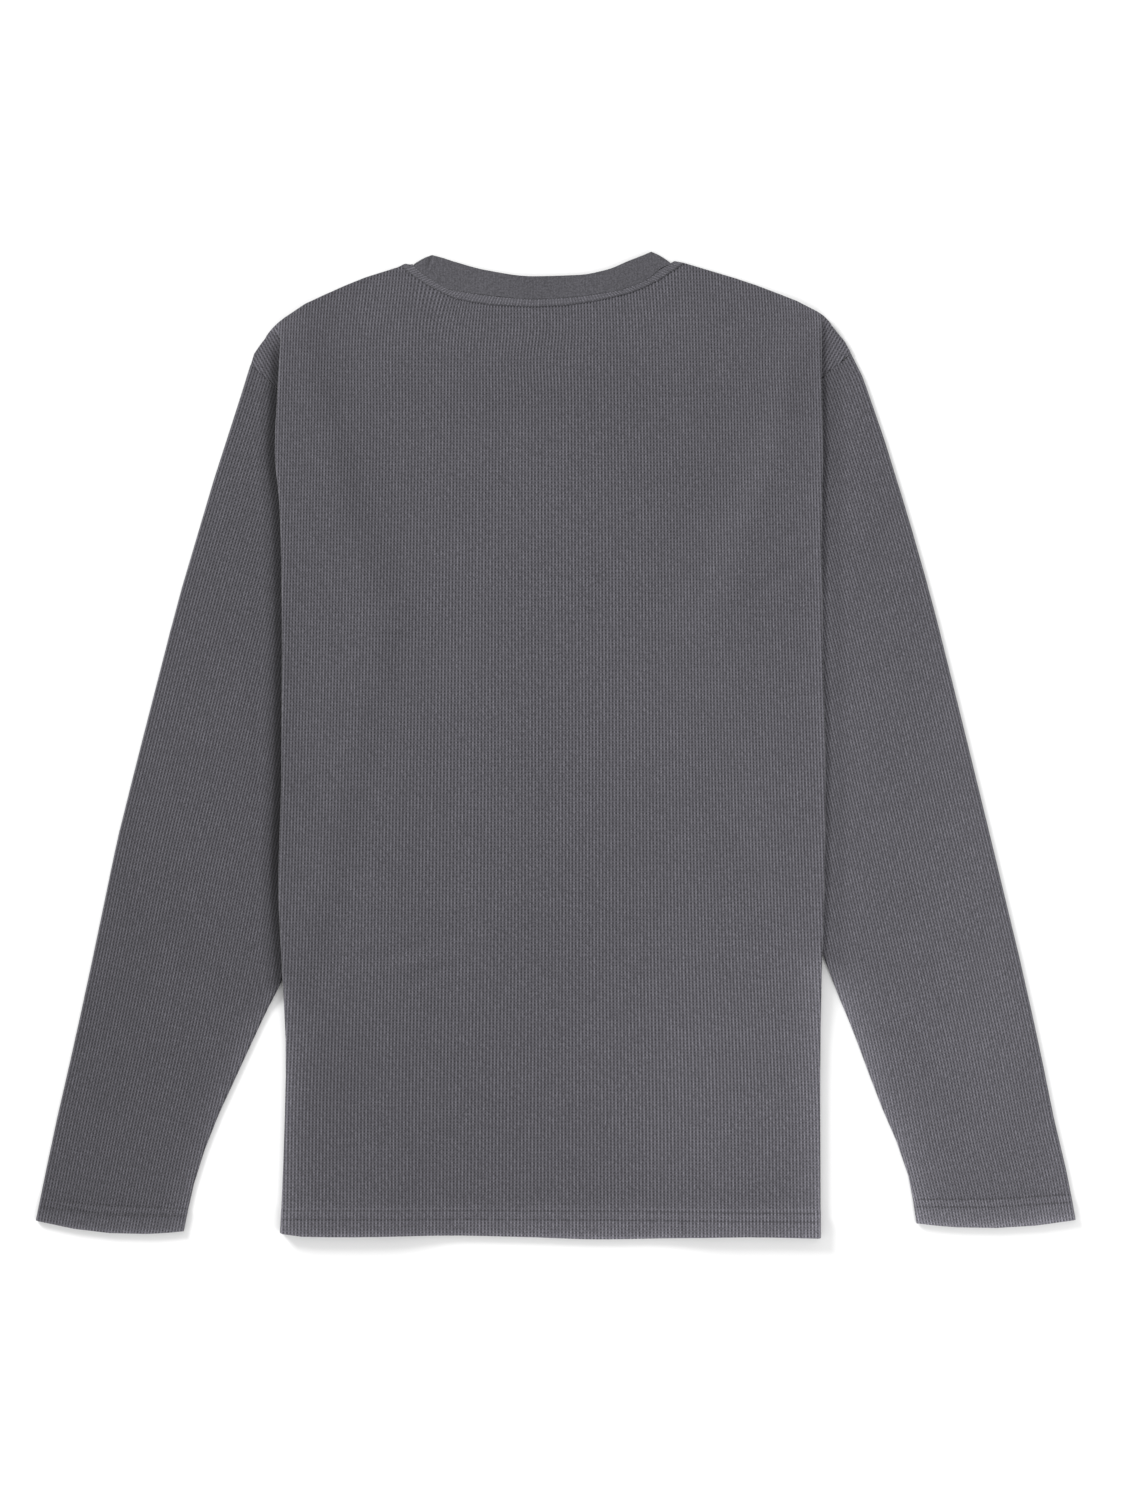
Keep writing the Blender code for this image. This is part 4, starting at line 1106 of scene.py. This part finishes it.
def wale_pitch(wale, y):
    """How far out a wale lies at this height, as a distance for each wale from the middle."""
    narrowing = np.interp(y, COURSE_Y, COURSE_NARROWING)
    return np.interp(y, COURSE_Y, COURSE_WALE) * (1 - narrowing * (wale / HALF_WALES) ** 2 / 3)


def body_grid():
    """Where the body's wales and courses cross, with wales counted from the left."""
    wales = np.arange(-MOST_WALES, MOST_WALES + 1.0)[:, None]
    y = np.broadcast_to(COURSE_Y, (len(wales), len(COURSE_Y)))
    x = CENTRE_X + wales * wale_pitch(wales, y)
    x = x + lean(x, y) + drifted(x, y)
    return np.stack([x, y + COURSE_DRIFT * drifted(y + 40, x)], axis=2)


def body_knit(x, y):
    """The wale and the course at a point of the body, by steps toward them."""
    x, y = np.array(x), np.array(y)
    plain, wale = x, 0.0
    for _ in range(6):
        plain = x - lean(plain, y) - drifted(plain, y)
    level = y - COURSE_DRIFT * drifted(y + 40, x)
    for _ in range(4):
        wale = (plain - CENTRE_X) / wale_pitch(wale, level)
    return wale + MOST_WALES, np.interp(level, COURSE_Y, np.arange(len(COURSE_Y)))


def turned_knit(sign):
    """The knit's coordinates where the shoulder's cloth is turned by the tuck."""
    cos, sin = math.cos(math.radians(TURNED_BY)), math.sin(math.radians(TURNED_BY)) * sign

    def at(point):
        x, y = point[:2]
        return (x * cos - y * sin) / TURNED_PITCH, (x * sin + y * cos) / TURNED_PITCH

    return at


class TopHeight:
    """The height of the back's upper face at any point, from samples of the rows."""

    def __init__(self):
        self.samples = {side.sign: self.sample(side) for side in (LEFT, RIGHT)}

    def sample(self, side):
        """The samples' distances out, and for each row of them its points (y, z)."""
        outs = np.arange(0, max(FOLD_LINE[side.sign]) + 2 * SAMPLE_OUT, SAMPLE_OUT)
        rows = []
        for k in range((len(STEPS) - 1) * SAMPLE_STEPS + 1):
            low = min(k // SAMPLE_STEPS, len(STEPS) - 2)
            pair = [(s.y + side.top_y * s.from_top, *s.rise[:2]) for s in STEPS[low : low + 2]]
            level = [lerp(a, b, k / SAMPLE_STEPS - low) for a, b in zip(*pair)]
            split = split_share(k / SAMPLE_STEPS)
            rows.append([self.point(side, out, *level, split) for out in outs])
        return outs, np.array(rows)

    def point(self, side, out, y, up, height, split):
        z = seat(0, side, min(out, first_out(side, y)), y, height) + body_cloth(y)
        own_y = row_y(side, out, lerp(y, top_y(side, out, False), up), split, False)
        return own_y, z + neck_lift(side.sign * out, own_y)

    def __call__(self, x, y):
        z = np.zeros_like(x)
        for sign, (outs, rows) in self.samples.items():
            mine = (x < 0) == (sign < 0)
            place = np.clip(np.abs(x) / SAMPLE_OUT, 0, len(outs) - 1.001)
            column = place.astype(int)
            for k in range(len(outs)):
                for low, share in ((k, 1 - place + column), (k - 1, place - column)):
                    here = mine & (column == low)
                    z[here] += share[here] * np.interp(y[here], *rows[:, k].T)
        return z + creased(BACK_CREASES, x, y) - sewn([NECK_ROW, *HEM_ROWS], x, y)


def lip_highlight(row, x, y):
    """Painted highlight: how much brighter a hem is toward its edge, below its lower row of stitching.
    """
    left = np.maximum(LIP_DOWN + above(row, x, y), 0)
    return LIP_TONE * np.exp(-left / LIP_REACH) * (y < 0)


def back_tone(points):
    x, y = points[:, 0], points[:, 1]
    hem = (HEM_TONE - 1) * smooth(-y, *HEM_TONED) + lip_highlight(HEM_ROWS[1], x, y)
    tone = patched_tone_and_light(x, y) * (1 + hem) * (1 + creased(HEM_CREASE_SHADE, x, y))
    # The body's edges at its folds get painted highlights, above and below the notch.
    for side in (LEFT, RIGHT):
        inside = np.maximum(-past_fold(side, x, y), 0)
        below = smooth(side.notch_y - y, *RIM_HIGHLIGHT_CHANGE)
        high, low = BODY_RIM_HIGHLIGHTS[side.sign]
        tone += high.share * (1 - below) * np.exp(-inside / high.reach)
        tone += low.share * below * np.exp(-inside / low.reach)
    return tone


def back_sewing(points):
    """The distances to the hem's rows or the neck's, or to the armhole seam, and past the fold."""
    x, y, z = points.T
    neck = np.where(np.abs(x - CENTRE_X) < STRIP_HALF, above(STRIP_LOW, x, y), FAR)
    first, second = sewing_distances(points, HEM_ROWS, neck)
    past = np.full_like(x, FAR)
    for side in (LEFT, RIGHT):
        outside = (side.sign * x > side.shoulder[0].out) & (y > UNDERARM_Y)
        beyond = past_fold(side, x, y)
        third = outside & (z < THIRD_TOP) & (beyond > -1)
        first = np.where(third, armhole_seam(side, x, y), first)
        past = np.where(outside, beyond / SHADE_REACH[side.sign], past)
    return np.stack([first, second, past], axis=1)


def body_shell(name, front):
    shell = Shell(name)
    grid = panel_grid(front)
    middle, level = grid.shape[1] // 2, FLAT_COLUMNS - 1

    def point_knit(point):
        return body_knit(*point[:2])

    def knit_at(j, i):
        high = any(grid[j, k, 1] > UNDERARM_Y for k in (0, -1))
        if high and abs(i + 0.5 - middle) > level + ROLL_STEPS:
            return turned_knit(1 if i > middle else -1)
        return point_knit

    block = None if front else (middle - level, middle + level)
    loop, _ = wall(shell, grid, body_cloth(grid[:, :, 1:2]), knit_at, block=block)
    if not front:
        waffle(shell, loop, body_grid(), None, TopHeight(), body_knit)
        shell.sewing, shell.shade = back_sewing, shade_depth
    shell.tone = back_tone
    return shell


# ---- the sleeves ----


class SleeveKnit:
    """A sleeve's wales run along its outer edge, and its courses square to them."""

    TOP_SLOPE, CUFF_SLOPE = 0.315, 0.205  # how the outer edge runs out as it comes down
    TOP_Y, CUFF_Y = 284.0, -356.0
    STEP = SLEEVE_COURSE * 0.97
    FIRST, DEEPEST = 1.2, 175.0  # from the outer edge to the first wale, and to the last
    DRIFT_ACROSS, DRIFT_UP = 1.3, 0.8  # the body's drifts, drawn out or in
    DRIFT_SHARE = 0.7
    DRIFT_IN = 20  # they grow to their full size over this depth

    def __init__(self, side):
        self.side = side
        self.y = np.arange(self.CUFF_Y, self.TOP_Y, self.STEP)
        self.out = np.array([follow(side.outer, "y", "out", y) for y in self.y])
        slope = np.interp(self.y, [self.CUFF_Y, self.TOP_Y], [self.CUFF_SLOPE, self.TOP_SLOPE])
        self.inward = np.stack([-np.ones_like(slope), -slope]) / np.hypot(slope, 1)

    def grid(self):
        depth = self.FIRST + SLEEVE_WALE * np.arange(int(self.DEEPEST / SLEEVE_WALE))[:, None]
        x, y = self.out + depth * self.inward[0], self.y + depth * self.inward[1]
        wobble = drifted(x * self.DRIFT_ACROSS, y * self.DRIFT_UP)
        wobble = wobble * np.clip(depth / self.DRIFT_IN, 0, 1) * self.DRIFT_SHARE
        return np.stack([(x + wobble) * self.side.sign, y], axis=2)

    def knit(self, x, y):
        """The wale and the course at a point of the sleeve, by steps toward them."""
        level = y
        for _ in range(6):
            inward = [np.interp(level, self.y, line) for line in self.inward]
            out = np.interp(level, self.y, self.out)
            depth = (abs(x) - out) * inward[0] + (y - level) * inward[1]
            level = y - depth * inward[1]
        return (depth - self.FIRST) / SLEEVE_WALE, (level - self.CUFF_Y) / self.STEP


def sleeve_shell(name, side, creases, cuff_rows):
    shell, knit, grid = Shell(name), SleeveKnit(side), sleeve_grid(side)
    count = grid.shape[1]
    flat = count // 2 - ROLL_STEPS + 1
    block = (0, flat - 1) if side.sign < 0 else (count - flat, count - 1)
    thick = sleeve_cloth(np.array(SLEEVE_SECTIONS))[:, None, None]

    def point_knit(point):
        return knit.knit(*point[:2])

    loop, over = wall(shell, grid, thick, lambda j, i: point_knit, ring=True, block=block)
    cuff_x, cuff_y = np.array(sorted(shell.points[k][:2] for k in loop[:flat])).T
    inner_y, inner_out = np.array(sorted((row.y, row.out) for row in side.inner)).T

    def shown(x, y):
        return (past_fold(side, x, y) > -UNDER_REACH) | (y < side.notch_y - SHOWN_ROOM)

    def height(x, y):
        past = past_fold(side, x, y)
        climb = 1 - smooth(past, STEP_START, STEP_START + STEP_WIDTH)
        climb = climb * smooth(y, side.notch_y - NOTCH_FADE, side.notch_y)
        depth = y - np.interp(x, cuff_x, cuff_y)
        cloth = lerp(HEM_CLOTH, CLOTH, np.clip((depth - CUFF_DEPTH + HEM_STEP) / HEM_STEP, 0, 1))
        moved = creased(creases, x, y) - sewn(cuff_rows, x, y)
        moved -= FOLD_DIP[side.sign] * np.exp(-((past / DIP_REACH) ** 2)) * (y > side.notch_y)
        hidden = np.clip((past + UNDER_REACH) / UNDER_REACH, 0, 1)
        z = 2 * (CLOTH + GAP) * climb + 2 * cloth + GAP
        return z + moved * np.where(y < side.notch_y, 1, hidden)

    def tone(points):
        x, y = points[:, 0], points[:, 1]
        # The sleeve's inner edge gets a painted highlight.
        rim = SLEEVE_RIM_HIGHLIGHTS[side.sign]
        inside = np.maximum(side.sign * x - np.interp(y, inner_y, inner_out), 0)
        below = smooth(side.notch_y - y, 0, NOTCH_FADE)
        # The cuff's tone is paler on the right as painted light.
        cuff = 1 + (CUFF_TONE[side.sign] - 1) * smooth(-y, *CUFF_TONED)
        cuff += CUFF_LOW * smooth(-above(cuff_rows[1], x, y), *CUFF_LOWERED) + lip_highlight(cuff_rows[1], x, y)
        return patched_tone_and_light(x, y) * cuff + rim.share * below * np.exp(-inside / rim.reach)

    def sewing(points):
        x, y = points[:, 0], points[:, 1]
        distances = sewing_distances(points, cuff_rows, armhole_seam(side, x, y))
        return np.stack([*distances, past_fold(side, x, y) / SHADE_REACH[side.sign]], axis=1)

    extra = []
    for x, y, z in over[1:-1, block[0] + 1 : block[1]].reshape(-1, 3):
        if past_fold(side, x, y) < -COARSE_REACH and y > side.notch_y:
            extra.append(shell.add((x, y, z)))
    waffle(shell, loop, knit.grid(), shown, height, knit.knit, extra)
    shell.tone, shell.sewing, shell.shade = tone, sewing, shade_depth
    return shell


# ---- the neckband ----


def band_shell(name):
    sections = band_sections()
    rows = []
    for share in np.arange(BAND_ROWS + 1) / BAND_ROWS:
        row = lerp(sections[:, 0], sections[:, 1], share)
        row[:, 2] += creased(BAND_CREASES, row[:, 0], row[:, 1]) * (row[:, 2] > BAND_CLOTH)
        moved = BAND_BULGE * 4 * share * (1 - share) - BAND_CORNER * smooth(share, BAND_TIP, 1)
        for sign in (-1, 1):
            out = sign * row[:, 0]
            row[:, 0] += sign * moved * np.clip(1 - (out.max() - out) / BAND_END, 0, 1)
        rows.append(row)

    def band_knit(point):
        return point[0] / BAND_WALE, point[1] / BAND_COURSE

    shell = Shell(name)
    wall(shell, np.array(rows), BAND_CLOTH, lambda j, i: band_knit, ring=True)
    shell.tone = lambda points: 1 + creased(BAND_CREASE_SHADE, points[:, 0], points[:, 1])
    return shell


def strip_shell(name, height_at):
    """The thin ribbed strip over the back neck's seam, closed, on the back's upper face."""
    shell = Shell(name)
    count = 2 * round(sum(map(math.dist, STRIP_LOW, STRIP_LOW[1:])) / STRIP_RIB)
    rows, tones = [], []
    for n in range(count + 1):
        top, low = along(STRIP_TOP, n / count), along(STRIP_LOW, n / count)
        rise = STRIP_RISE if n % 2 else STRIP_GROOVE
        row = []
        for edging in STRIP_EDGES:
            x, y = (lerp(a, b, edging.share) for a, b in zip(top, low))
            knit, base = (n / 2, edging.share * math.dist(top, low) / STRIP_RIB), height_at(x, y)
            lifts = (rise * edging.rise, STRIP_UNDER)
            row.append([shell.add((x, y, base + lift), knit) for lift in lifts])
            tones += [edging.tone] * len(lifts)
        rows.append(row)
    for before, after in zip(rows, rows[1:]):
        for a, b, c, d in zip(before, before[1:], after[1:], after):
            shell.face((a[0], b[0], c[0], d[0]))
            shell.face((a[1], d[1], c[1], b[1]))
        for k, way in ((0, 1), (-1, -1)):
            shell.face((before[k][0], after[k][0], after[k][1], before[k][1])[::way])
    for row, way in ((rows[0], 1), (rows[-1], -1)):
        for a, b in zip(row, row[1:]):
            shell.face((a[0], a[1], b[1], b[0])[::way])
    shell.tone = lambda points: np.array(tones)
    return shell


def strip_row(share):
    """A line along the neck's strip, this share of the way across it."""
    row = []
    for n in range(STRIP_SPANS + 1):
        top, low = (along(line, n / STRIP_SPANS) for line in (STRIP_TOP, STRIP_LOW))
        row.append(Point(*(lerp(a, b, share) for a, b in zip(top, low))))
    return row


# ---- the sewing ----


def thread_row(shell, row, height_at, inset):
    """Stitches along a row, each a short bowed length of thread."""
    xs = np.linspace(row[0].x + inset, row[-1].x - inset, ROW_SAMPLES)
    ys = np.array([follow(row, "x", "y", x) for x in xs])
    far = np.concatenate([[0], np.cumsum(np.hypot(np.diff(xs), np.diff(ys)))])
    count = int(far[-1] / (STITCH + STITCH_GAP))
    pitch = far[-1] / count
    sides = range(THREAD_SIDES)
    for n in range(count):
        rings = []
        for bend in BENDS:
            at = n * pitch + STITCH_GAP / 2 + (pitch - STITCH_GAP) * bend.share
            x, y = np.interp(at, far, xs), np.interp(at, far, ys)
            rings.append((x, y, height_at(x, y) + bend.rise, bend.size * THREAD))
        (ax, ay), (bx, by) = rings[0][:2], rings[-1][:2]
        size = math.hypot(bx - ax, by - ay)
        numbers = []
        for x, y, z, radius in rings:
            ring = []
            for k in sides:
                angle = 2 * math.pi * k / THREAD_SIDES
                across, up = radius * math.cos(angle) / size, radius * math.sin(angle)
                ring.append(shell.add((x - (by - ay) * across, y + (bx - ax) * across, z + up), (n, k)))
            numbers.append(ring)
        for low, high in zip(numbers, numbers[1:]):
            for k in sides:
                beyond = (k + 1) % THREAD_SIDES
                shell.face((low[k], low[beyond], high[beyond], high[k]))
        shell.face(numbers[0][::-1])
        shell.face(numbers[-1])


def surface_height(thing, shift):
    """The height of a piece's upper face, from above, in the tables' own millimetres."""
    faces = [tuple(face.vertices) for face in thing.data.polygons]
    tree = BVHTree.FromPolygons([vertex.co for vertex in thing.data.vertices], faces)

    def at(x, y):
        start = Vector(((x + shift[0]) * MM, (y + shift[1]) * MM, 0.1))
        hit = tree.ray_cast(start, Vector((0, 0, -1)))[0]
        return hit.z / MM - shift[2] if hit else 0.0

    return at


# ---- materials ----

MATT = {
    "Roughness": 0.92,
    "Specular IOR Level": 0.25,
    "Sheen Weight": 0.35,
    "Sheen Roughness": 0.4,
}
# Where a pit's painted shade begins and is full, from a rib's middle and from a bar's.
PIT_FROM_RIB, PIT_FROM_BAR = (0.2, 0.85), (0.15, 0.85)
PIT_SPREAD, PIT_LEAST = 0.24, 0.88  # how unlike each other the pits are, and the least dark
LOOPS = 3.0  # a rib's loops from bar to bar
FUZZ = 2.2  # how speckled the yarn is
BEAD = 0.17  # how much paler or darker a rib is between its bars or on them
SPARKLE = 0.3  # how unlike each other the beads are
BAR_SIDE_LIGHT = 0.045  # painted light and shade on a bar: how much paler its lower side is, and how much darker its upper one
ROW_FADE = (0.3, 1.0)  # how far from a row of stitching its shade reaches
ROW_DARK, CROOK_DARK = 0.45, 0.78  # how dark its painted shade is, and the painted shade in the crook beside a fold
# Where the crook's two shades fade, as shares of its reach.
CROOK_NEAR, CROOK_WIDE = (0.2, 0.47), (0.35, 1.0)
CROOK_START = (0.0, 0.03)


class Tree:
    """A material's nodes, with short ways to make and join them."""

    def __init__(self, name):
        self.material = bpy.data.materials.new(name)
        self.material.use_nodes = True
        self.nodes, self.links = self.material.node_tree.nodes, self.material.node_tree.links
        self.shader = self.nodes["Principled BSDF"]
        self.place = self.node("TexCoord").outputs["Object"]

    def feed(self, node, values):
        """Sets a node's inputs, or links them to the sockets that are given."""
        for key, value in dict(values).items():
            if isinstance(value, bpy.types.NodeSocket):
                self.links.new(value, node.inputs[key])
            else:
                node.inputs[key].default_value = value
        return node

    def node(self, kind, values=(), **settings):
        made = self.nodes.new("ShaderNode" + kind)
        for key, value in settings.items():
            setattr(made, key, value)
        return self.feed(made, values)

    def math(self, operation, a, b=0.0, c=0.0):
        return self.node("Math", {0: a, 1: b, 2: c}, operation=operation).outputs[0]

    def times(self, first, *others):
        """The product of several values."""
        for other in others:
            first = self.math("MULTIPLY", first, other)
        return first

    def line(self, value, slope, start):
        return self.math("MULTIPLY_ADD", value, slope, start)

    def wave(self, value):
        """0 at whole numbers and 1 halfway between them."""
        return self.times(self.math("PINGPONG", value, 0.5), 2.0)

    def smooth(self, value, low, high, to_low=0.0, to_high=1.0):
        values = {0: value, 1: low, 2: high, 3: to_low, 4: to_high}
        return self.node("MapRange", values, interpolation_type="SMOOTHSTEP").outputs[0]

    def attribute(self, name, output="Fac"):
        return self.node("Attribute", attribute_name=name).outputs[output]

    def parts(self, name):
        """The three numbers of an attribute."""
        return self.node("SeparateXYZ", {0: self.attribute(name, "Vector")}).outputs[:]

    def noise(self, scale, detail, roughness=0.5):
        values = {"Scale": scale, "Detail": detail, "Roughness": roughness, "Vector": self.place}
        return self.node("TexNoise", values).outputs[0]

    def cell_noise(self, wale, course):
        """A number from 0 to 1 for each whole cell."""
        cell = self.node("CombineXYZ", {0: self.math("FLOOR", wale), 1: self.math("FLOOR", course)})
        values = {"Vector": cell.outputs[0]}
        return self.node("TexWhiteNoise", values, noise_dimensions="3D").outputs[0]

    def mix(self, share, a, b, blend="MIX"):
        values = {0: share, 6: a, 7: b}
        return self.node("Mix", values, data_type="RGBA", blend_type=blend).outputs[2]

    def grey(self, tone):
        return self.node("CombineColor", {0: tone, 1: tone, 2: tone}).outputs[0]

    def cloth(self, colour, height, strength, distance):
        """The finished material: matt cloth with this bump."""
        bump = self.node("Bump", {"Height": height, "Strength": strength, "Distance": distance})
        self.feed(self.shader, {"Base Color": colour, "Normal": bump.outputs[0], **MATT})
        return self.material


def knit_material(name, light, dark, bars):
    """Waffle knit: pale ribs and bars round pits painted dark with shade, each rib a chain of loops.

    bars is how dark the painted shade in the grooves between the ribs stays where a bar crosses them.
    """
    tree = Tree(name)
    wale, course, _ = tree.parts("knit")
    fuzz = tree.noise(1350.0, 3.0, 0.65)
    across = tree.wave(wale)
    pitted = tree.smooth(tree.wave(course), *PIT_FROM_BAR)
    hollow = tree.times(tree.smooth(across, *PIT_FROM_RIB), tree.line(pitted, 1 - bars, bars))
    spread = tree.line(tree.cell_noise(wale, course), PIT_SPREAD, PIT_LEAST)
    hollow = tree.times(hollow, spread)
    loops = tree.math("PINGPONG", tree.times(course, LOOPS), 0.5)
    bead = tree.times(pitted, tree.smooth(across, 0.0, 0.6, 2 * BEAD, 0.0))
    spark = tree.cell_noise(tree.math("ADD", wale, 0.5), tree.math("ADD", course, 0.5))
    spark = tree.times(tree.math("SUBTRACT", spark, 0.5), tree.smooth(across, 0.1, 0.8, SPARKLE, 0.0))
    tone = tree.times(
        tree.line(tree.noise(9.0, 3.0), 0.1, 0.95),
        tree.line(tree.noise(60.0, 2.0), 0.12, 0.94),
        tree.math("ADD", bead, 1 - BEAD),
        tree.math("ADD", spark, 1.0),
        # painted light and shade on the bars' two sides
        tree.line(tree.math("SINE", tree.times(course, 2 * math.pi)), -BAR_SIDE_LIGHT, 1.0),
        tree.line(fuzz, FUZZ, 1 - FUZZ / 2),
        tree.attribute("tone"),
        sewn_shade(tree, across),
    )
    colour = tree.mix(hollow, (*light, 1), (*dark, 1))
    colour = tree.mix(1.0, colour, tree.grey(tone), "MULTIPLY")
    height = tree.math("SUBTRACT", tree.times(loops, 0.25), hollow)
    return tree.cloth(colour, tree.line(fuzz, 0.5, height), 0.55, 0.0004)


def sewn_shade(tree, across):
    """Painted shade where a row of stitching pulls the cloth in, and in the crook beside a fold."""
    first, second, past = tree.parts("sewing")
    row = tree.math("MINIMUM", tree.math("ABSOLUTE", first), tree.math("ABSOLUTE", second))
    line = tree.times(tree.smooth(row, *ROW_FADE, 1.0, 0.0), tree.line(across, 0.9, 0.1))
    near, wide = (tree.smooth(past, *fade, 0.5, 0.0) for fade in (CROOK_NEAR, CROOK_WIDE))
    crook = tree.times(tree.math("ADD", near, wide), tree.smooth(past, *CROOK_START))
    crook = tree.times(crook, tree.attribute("shade"))
    return tree.times(tree.line(line, -ROW_DARK, 1.0), tree.line(crook, -CROOK_DARK, 1.0))


def rib_material(name, light, dark):
    """The neckband's fine plain knit."""
    tree = Tree(name)
    across, up = (tree.wave(part) for part in tree.parts("knit")[:2])
    groove = tree.times(tree.smooth(across, 0.4, 1.0), tree.smooth(up, 0.0, 1.0, 0.6, 1.0))
    fuzz = tree.noise(1100.0, 3.0, 0.65)
    tone = tree.times(
        tree.line(tree.noise(25.0, 3.0), 0.2, 0.9),
        tree.smooth(tree.noise(820.0, 2.0, 0.6), 0.25, 0.75, 0.68, 1.32),
        tree.line(fuzz, 0.4, 0.8),
        tree.attribute("tone"),
    )
    # The grooves are painted darker, as shade.
    colour = tree.mix(groove, (*light, 1), (*dark, 1))
    colour = tree.mix(1.0, colour, tree.grey(tone), "MULTIPLY")
    return tree.cloth(colour, tree.line(fuzz, 0.5, tree.times(groove, -1.0)), 0.4, 0.0002)


def thread_material(name, light, dark):
    """Twisted sewing thread."""
    tree = Tree(name)
    values = {"Vector": tree.place, "Scale": 700.0, "Distortion": 2.0}
    twist = tree.node("TexWave", values).outputs[1]
    # The twist's grooves are painted darker, as shade.
    colour = tree.mix(tree.times(twist, tree.noise(1500.0, 2.0)), (*dark, 1), (*light, 1))
    return tree.cloth(colour, twist, 0.3, 0.0001)


def floor_material():
    tree = Tree("floor")
    colour = tree.grey(tree.line(tree.noise(40.0, 4.0), 0.004, 0.84))
    tree.feed(tree.shader, {"Base Color": colour, "Roughness": 0.95, "Specular IOR Level": 0.1})
    return tree.material


# ---- the scene ----

GARMENT_WIDE = 0.81  # metres across the picture, at the cloth
PICTURE_SHAPE = 1500 / 1125  # its height as a share of its width
LENS = 90.0
SENSOR = 36.0
VIEW_X, VIEW_Y = 4.7, -3.6  # what the camera looks straight down at
CLOTH_LEVEL = 0.006  # the cloth's upper face, in metres
FLOOR_HALF = 6.0
FLOOR_DROP = 0.0002  # the floor lies this far below the cloth


def place_in_scene(name, data, where):
    thing = bpy.data.objects.new(name, data)
    thing.location = where
    bpy.context.scene.collection.objects.link(thing)
    return thing


def area_light(name, where, size, power):
    """A round soft light that shines at the middle of the floor."""
    data = bpy.data.lights.new(name, "AREA")
    data.shape = "DISK"
    data.size = size
    data.energy = power
    light = place_in_scene(name, data, where)
    light.rotation_mode = "QUATERNION"
    light.rotation_quaternion = (-Vector(where)).to_track_quat("-Z", "Y")
    light.visible_camera = False


def studio(shift):
    scene = bpy.context.scene
    scene.view_settings.view_transform = "Standard"
    scene.view_settings.look = "None"
    scene.world = bpy.data.worlds.new("studio")
    scene.world.use_nodes = True
    background = scene.world.node_tree.nodes["Background"]
    background.inputs[0].default_value = (1.0, 1.0, 1.0, 1)
    background.inputs[1].default_value = 0.8
    area_light("softbox", (-1.95, 1.85, 1.4), 1.1, 86.0)
    area_light("fill", (0.75, -0.85, 1.5), 1.0, 8.5)
    lens = bpy.data.cameras.new("camera")
    lens.lens = LENS
    lens.sensor_width = SENSOR
    lens.clip_end = 30
    high = GARMENT_WIDE * PICTURE_SHAPE * LENS / SENSOR + CLOTH_LEVEL
    where = ((VIEW_X + shift[0]) * MM, (VIEW_Y + shift[1]) * MM, high)
    scene.camera = place_in_scene("camera", lens, where)
    mesh = bpy.data.meshes.new("floor")
    corners = [(x * FLOOR_HALF, y * FLOOR_HALF, 0) for x, y in ((-1, -1), (1, -1), (1, 1), (-1, 1))]
    mesh.from_pydata(corners, [], [(0, 1, 2, 3)])
    mesh.materials.append(floor_material())
    place_in_scene("floor", mesh, (0, 0, -FLOOR_DROP))


def finish_piece(thing, surface):
    thing.data.materials.append(surface)
    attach(thing, "root")
    return thing


def frame_shift(shells):
    """The move from the tables' own place to the frame's, as the solids were centred."""
    points = np.concatenate([np.array(shell.points) for shell in shells])
    low, high = points.min(axis=0), points.max(axis=0)
    return np.array([-(low[0] + high[0]) / 2, -(low[1] + high[1]) / 2, -low[2]])


def main():
    back = body_shell("back_cloth", False)
    front = body_shell("front_cloth", True)
    left = sleeve_shell("sleeve_left_cloth", LEFT, LEFT_CREASES, LEFT_CUFF_ROWS)
    right = sleeve_shell("sleeve_right_cloth", RIGHT, RIGHT_CREASES, RIGHT_CUFF_ROWS)
    band = band_shell("neckband_cloth")
    shift = frame_shift([back, front, left, right, band])
    body_look = knit_material("waffle_body", (0.1065, 0.1032, 0.1182), (0.0342, 0.0333, 0.0383), 0.4)
    # The sleeves' copies differ by painted light: the left is darker and the right paler, as the light
    # falls brighter toward the right.
    left_shaded_look = knit_material("waffle_left_shaded", (0.0935, 0.0908, 0.1038), (0.0285, 0.0277, 0.0319), 0.42)
    right_lit_look = knit_material("waffle_right_lit", (0.1185, 0.1151, 0.1315), (0.042, 0.041, 0.047), 0.42)
    strip_look = knit_material("waffle_strip", (0.104, 0.101, 0.1145), (0.072, 0.07, 0.08), 0.8)
    band_look = rib_material("band_knit", (0.073, 0.0713, 0.08), (0.0452, 0.0442, 0.0508))
    sewing = thread_material("thread", (0.12, 0.118, 0.13), (0.05, 0.049, 0.055))
    made = {}
    for shell, look, slot, node in (
        (back, body_look, "waffle_knit", "back_panel"),
        (front, body_look, "waffle_knit", "front_panel"),
        (left, left_shaded_look, "waffle_knit", "sleeve_left"),
        (right, right_lit_look, "waffle_knit", "sleeve_right"),
        (band, band_look, "rib_knit", "neckband"),
    ):
        made[node] = finish_piece(shell.build(shift), look)
        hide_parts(node)
    strip = strip_shell("neck_strip_cloth", surface_height(made["back_panel"], shift))
    made["neck_strip"] = finish_piece(strip.build(shift), strip_look)
    neck_rows = [strip_row(share) for share in STRIP_ROWS]
    for name, node, lines, inset in (
        ("hem_stitches", "back_panel", HEM_ROWS, 1.5),
        ("neck_stitches", "neck_strip", neck_rows, 1.0),
        ("cuff_left_stitches", "sleeve_left", LEFT_CUFF_ROWS, 2.5),
        ("cuff_right_stitches", "sleeve_right", RIGHT_CUFF_ROWS, 2.5),
    ):
        shell = Shell(name)
        height_at = surface_height(made[node], shift)
        for line in lines:
            thread_row(shell, line, height_at, inset)
        made[name] = finish_piece(shell.build(shift), sewing)
    studio(shift)


main()
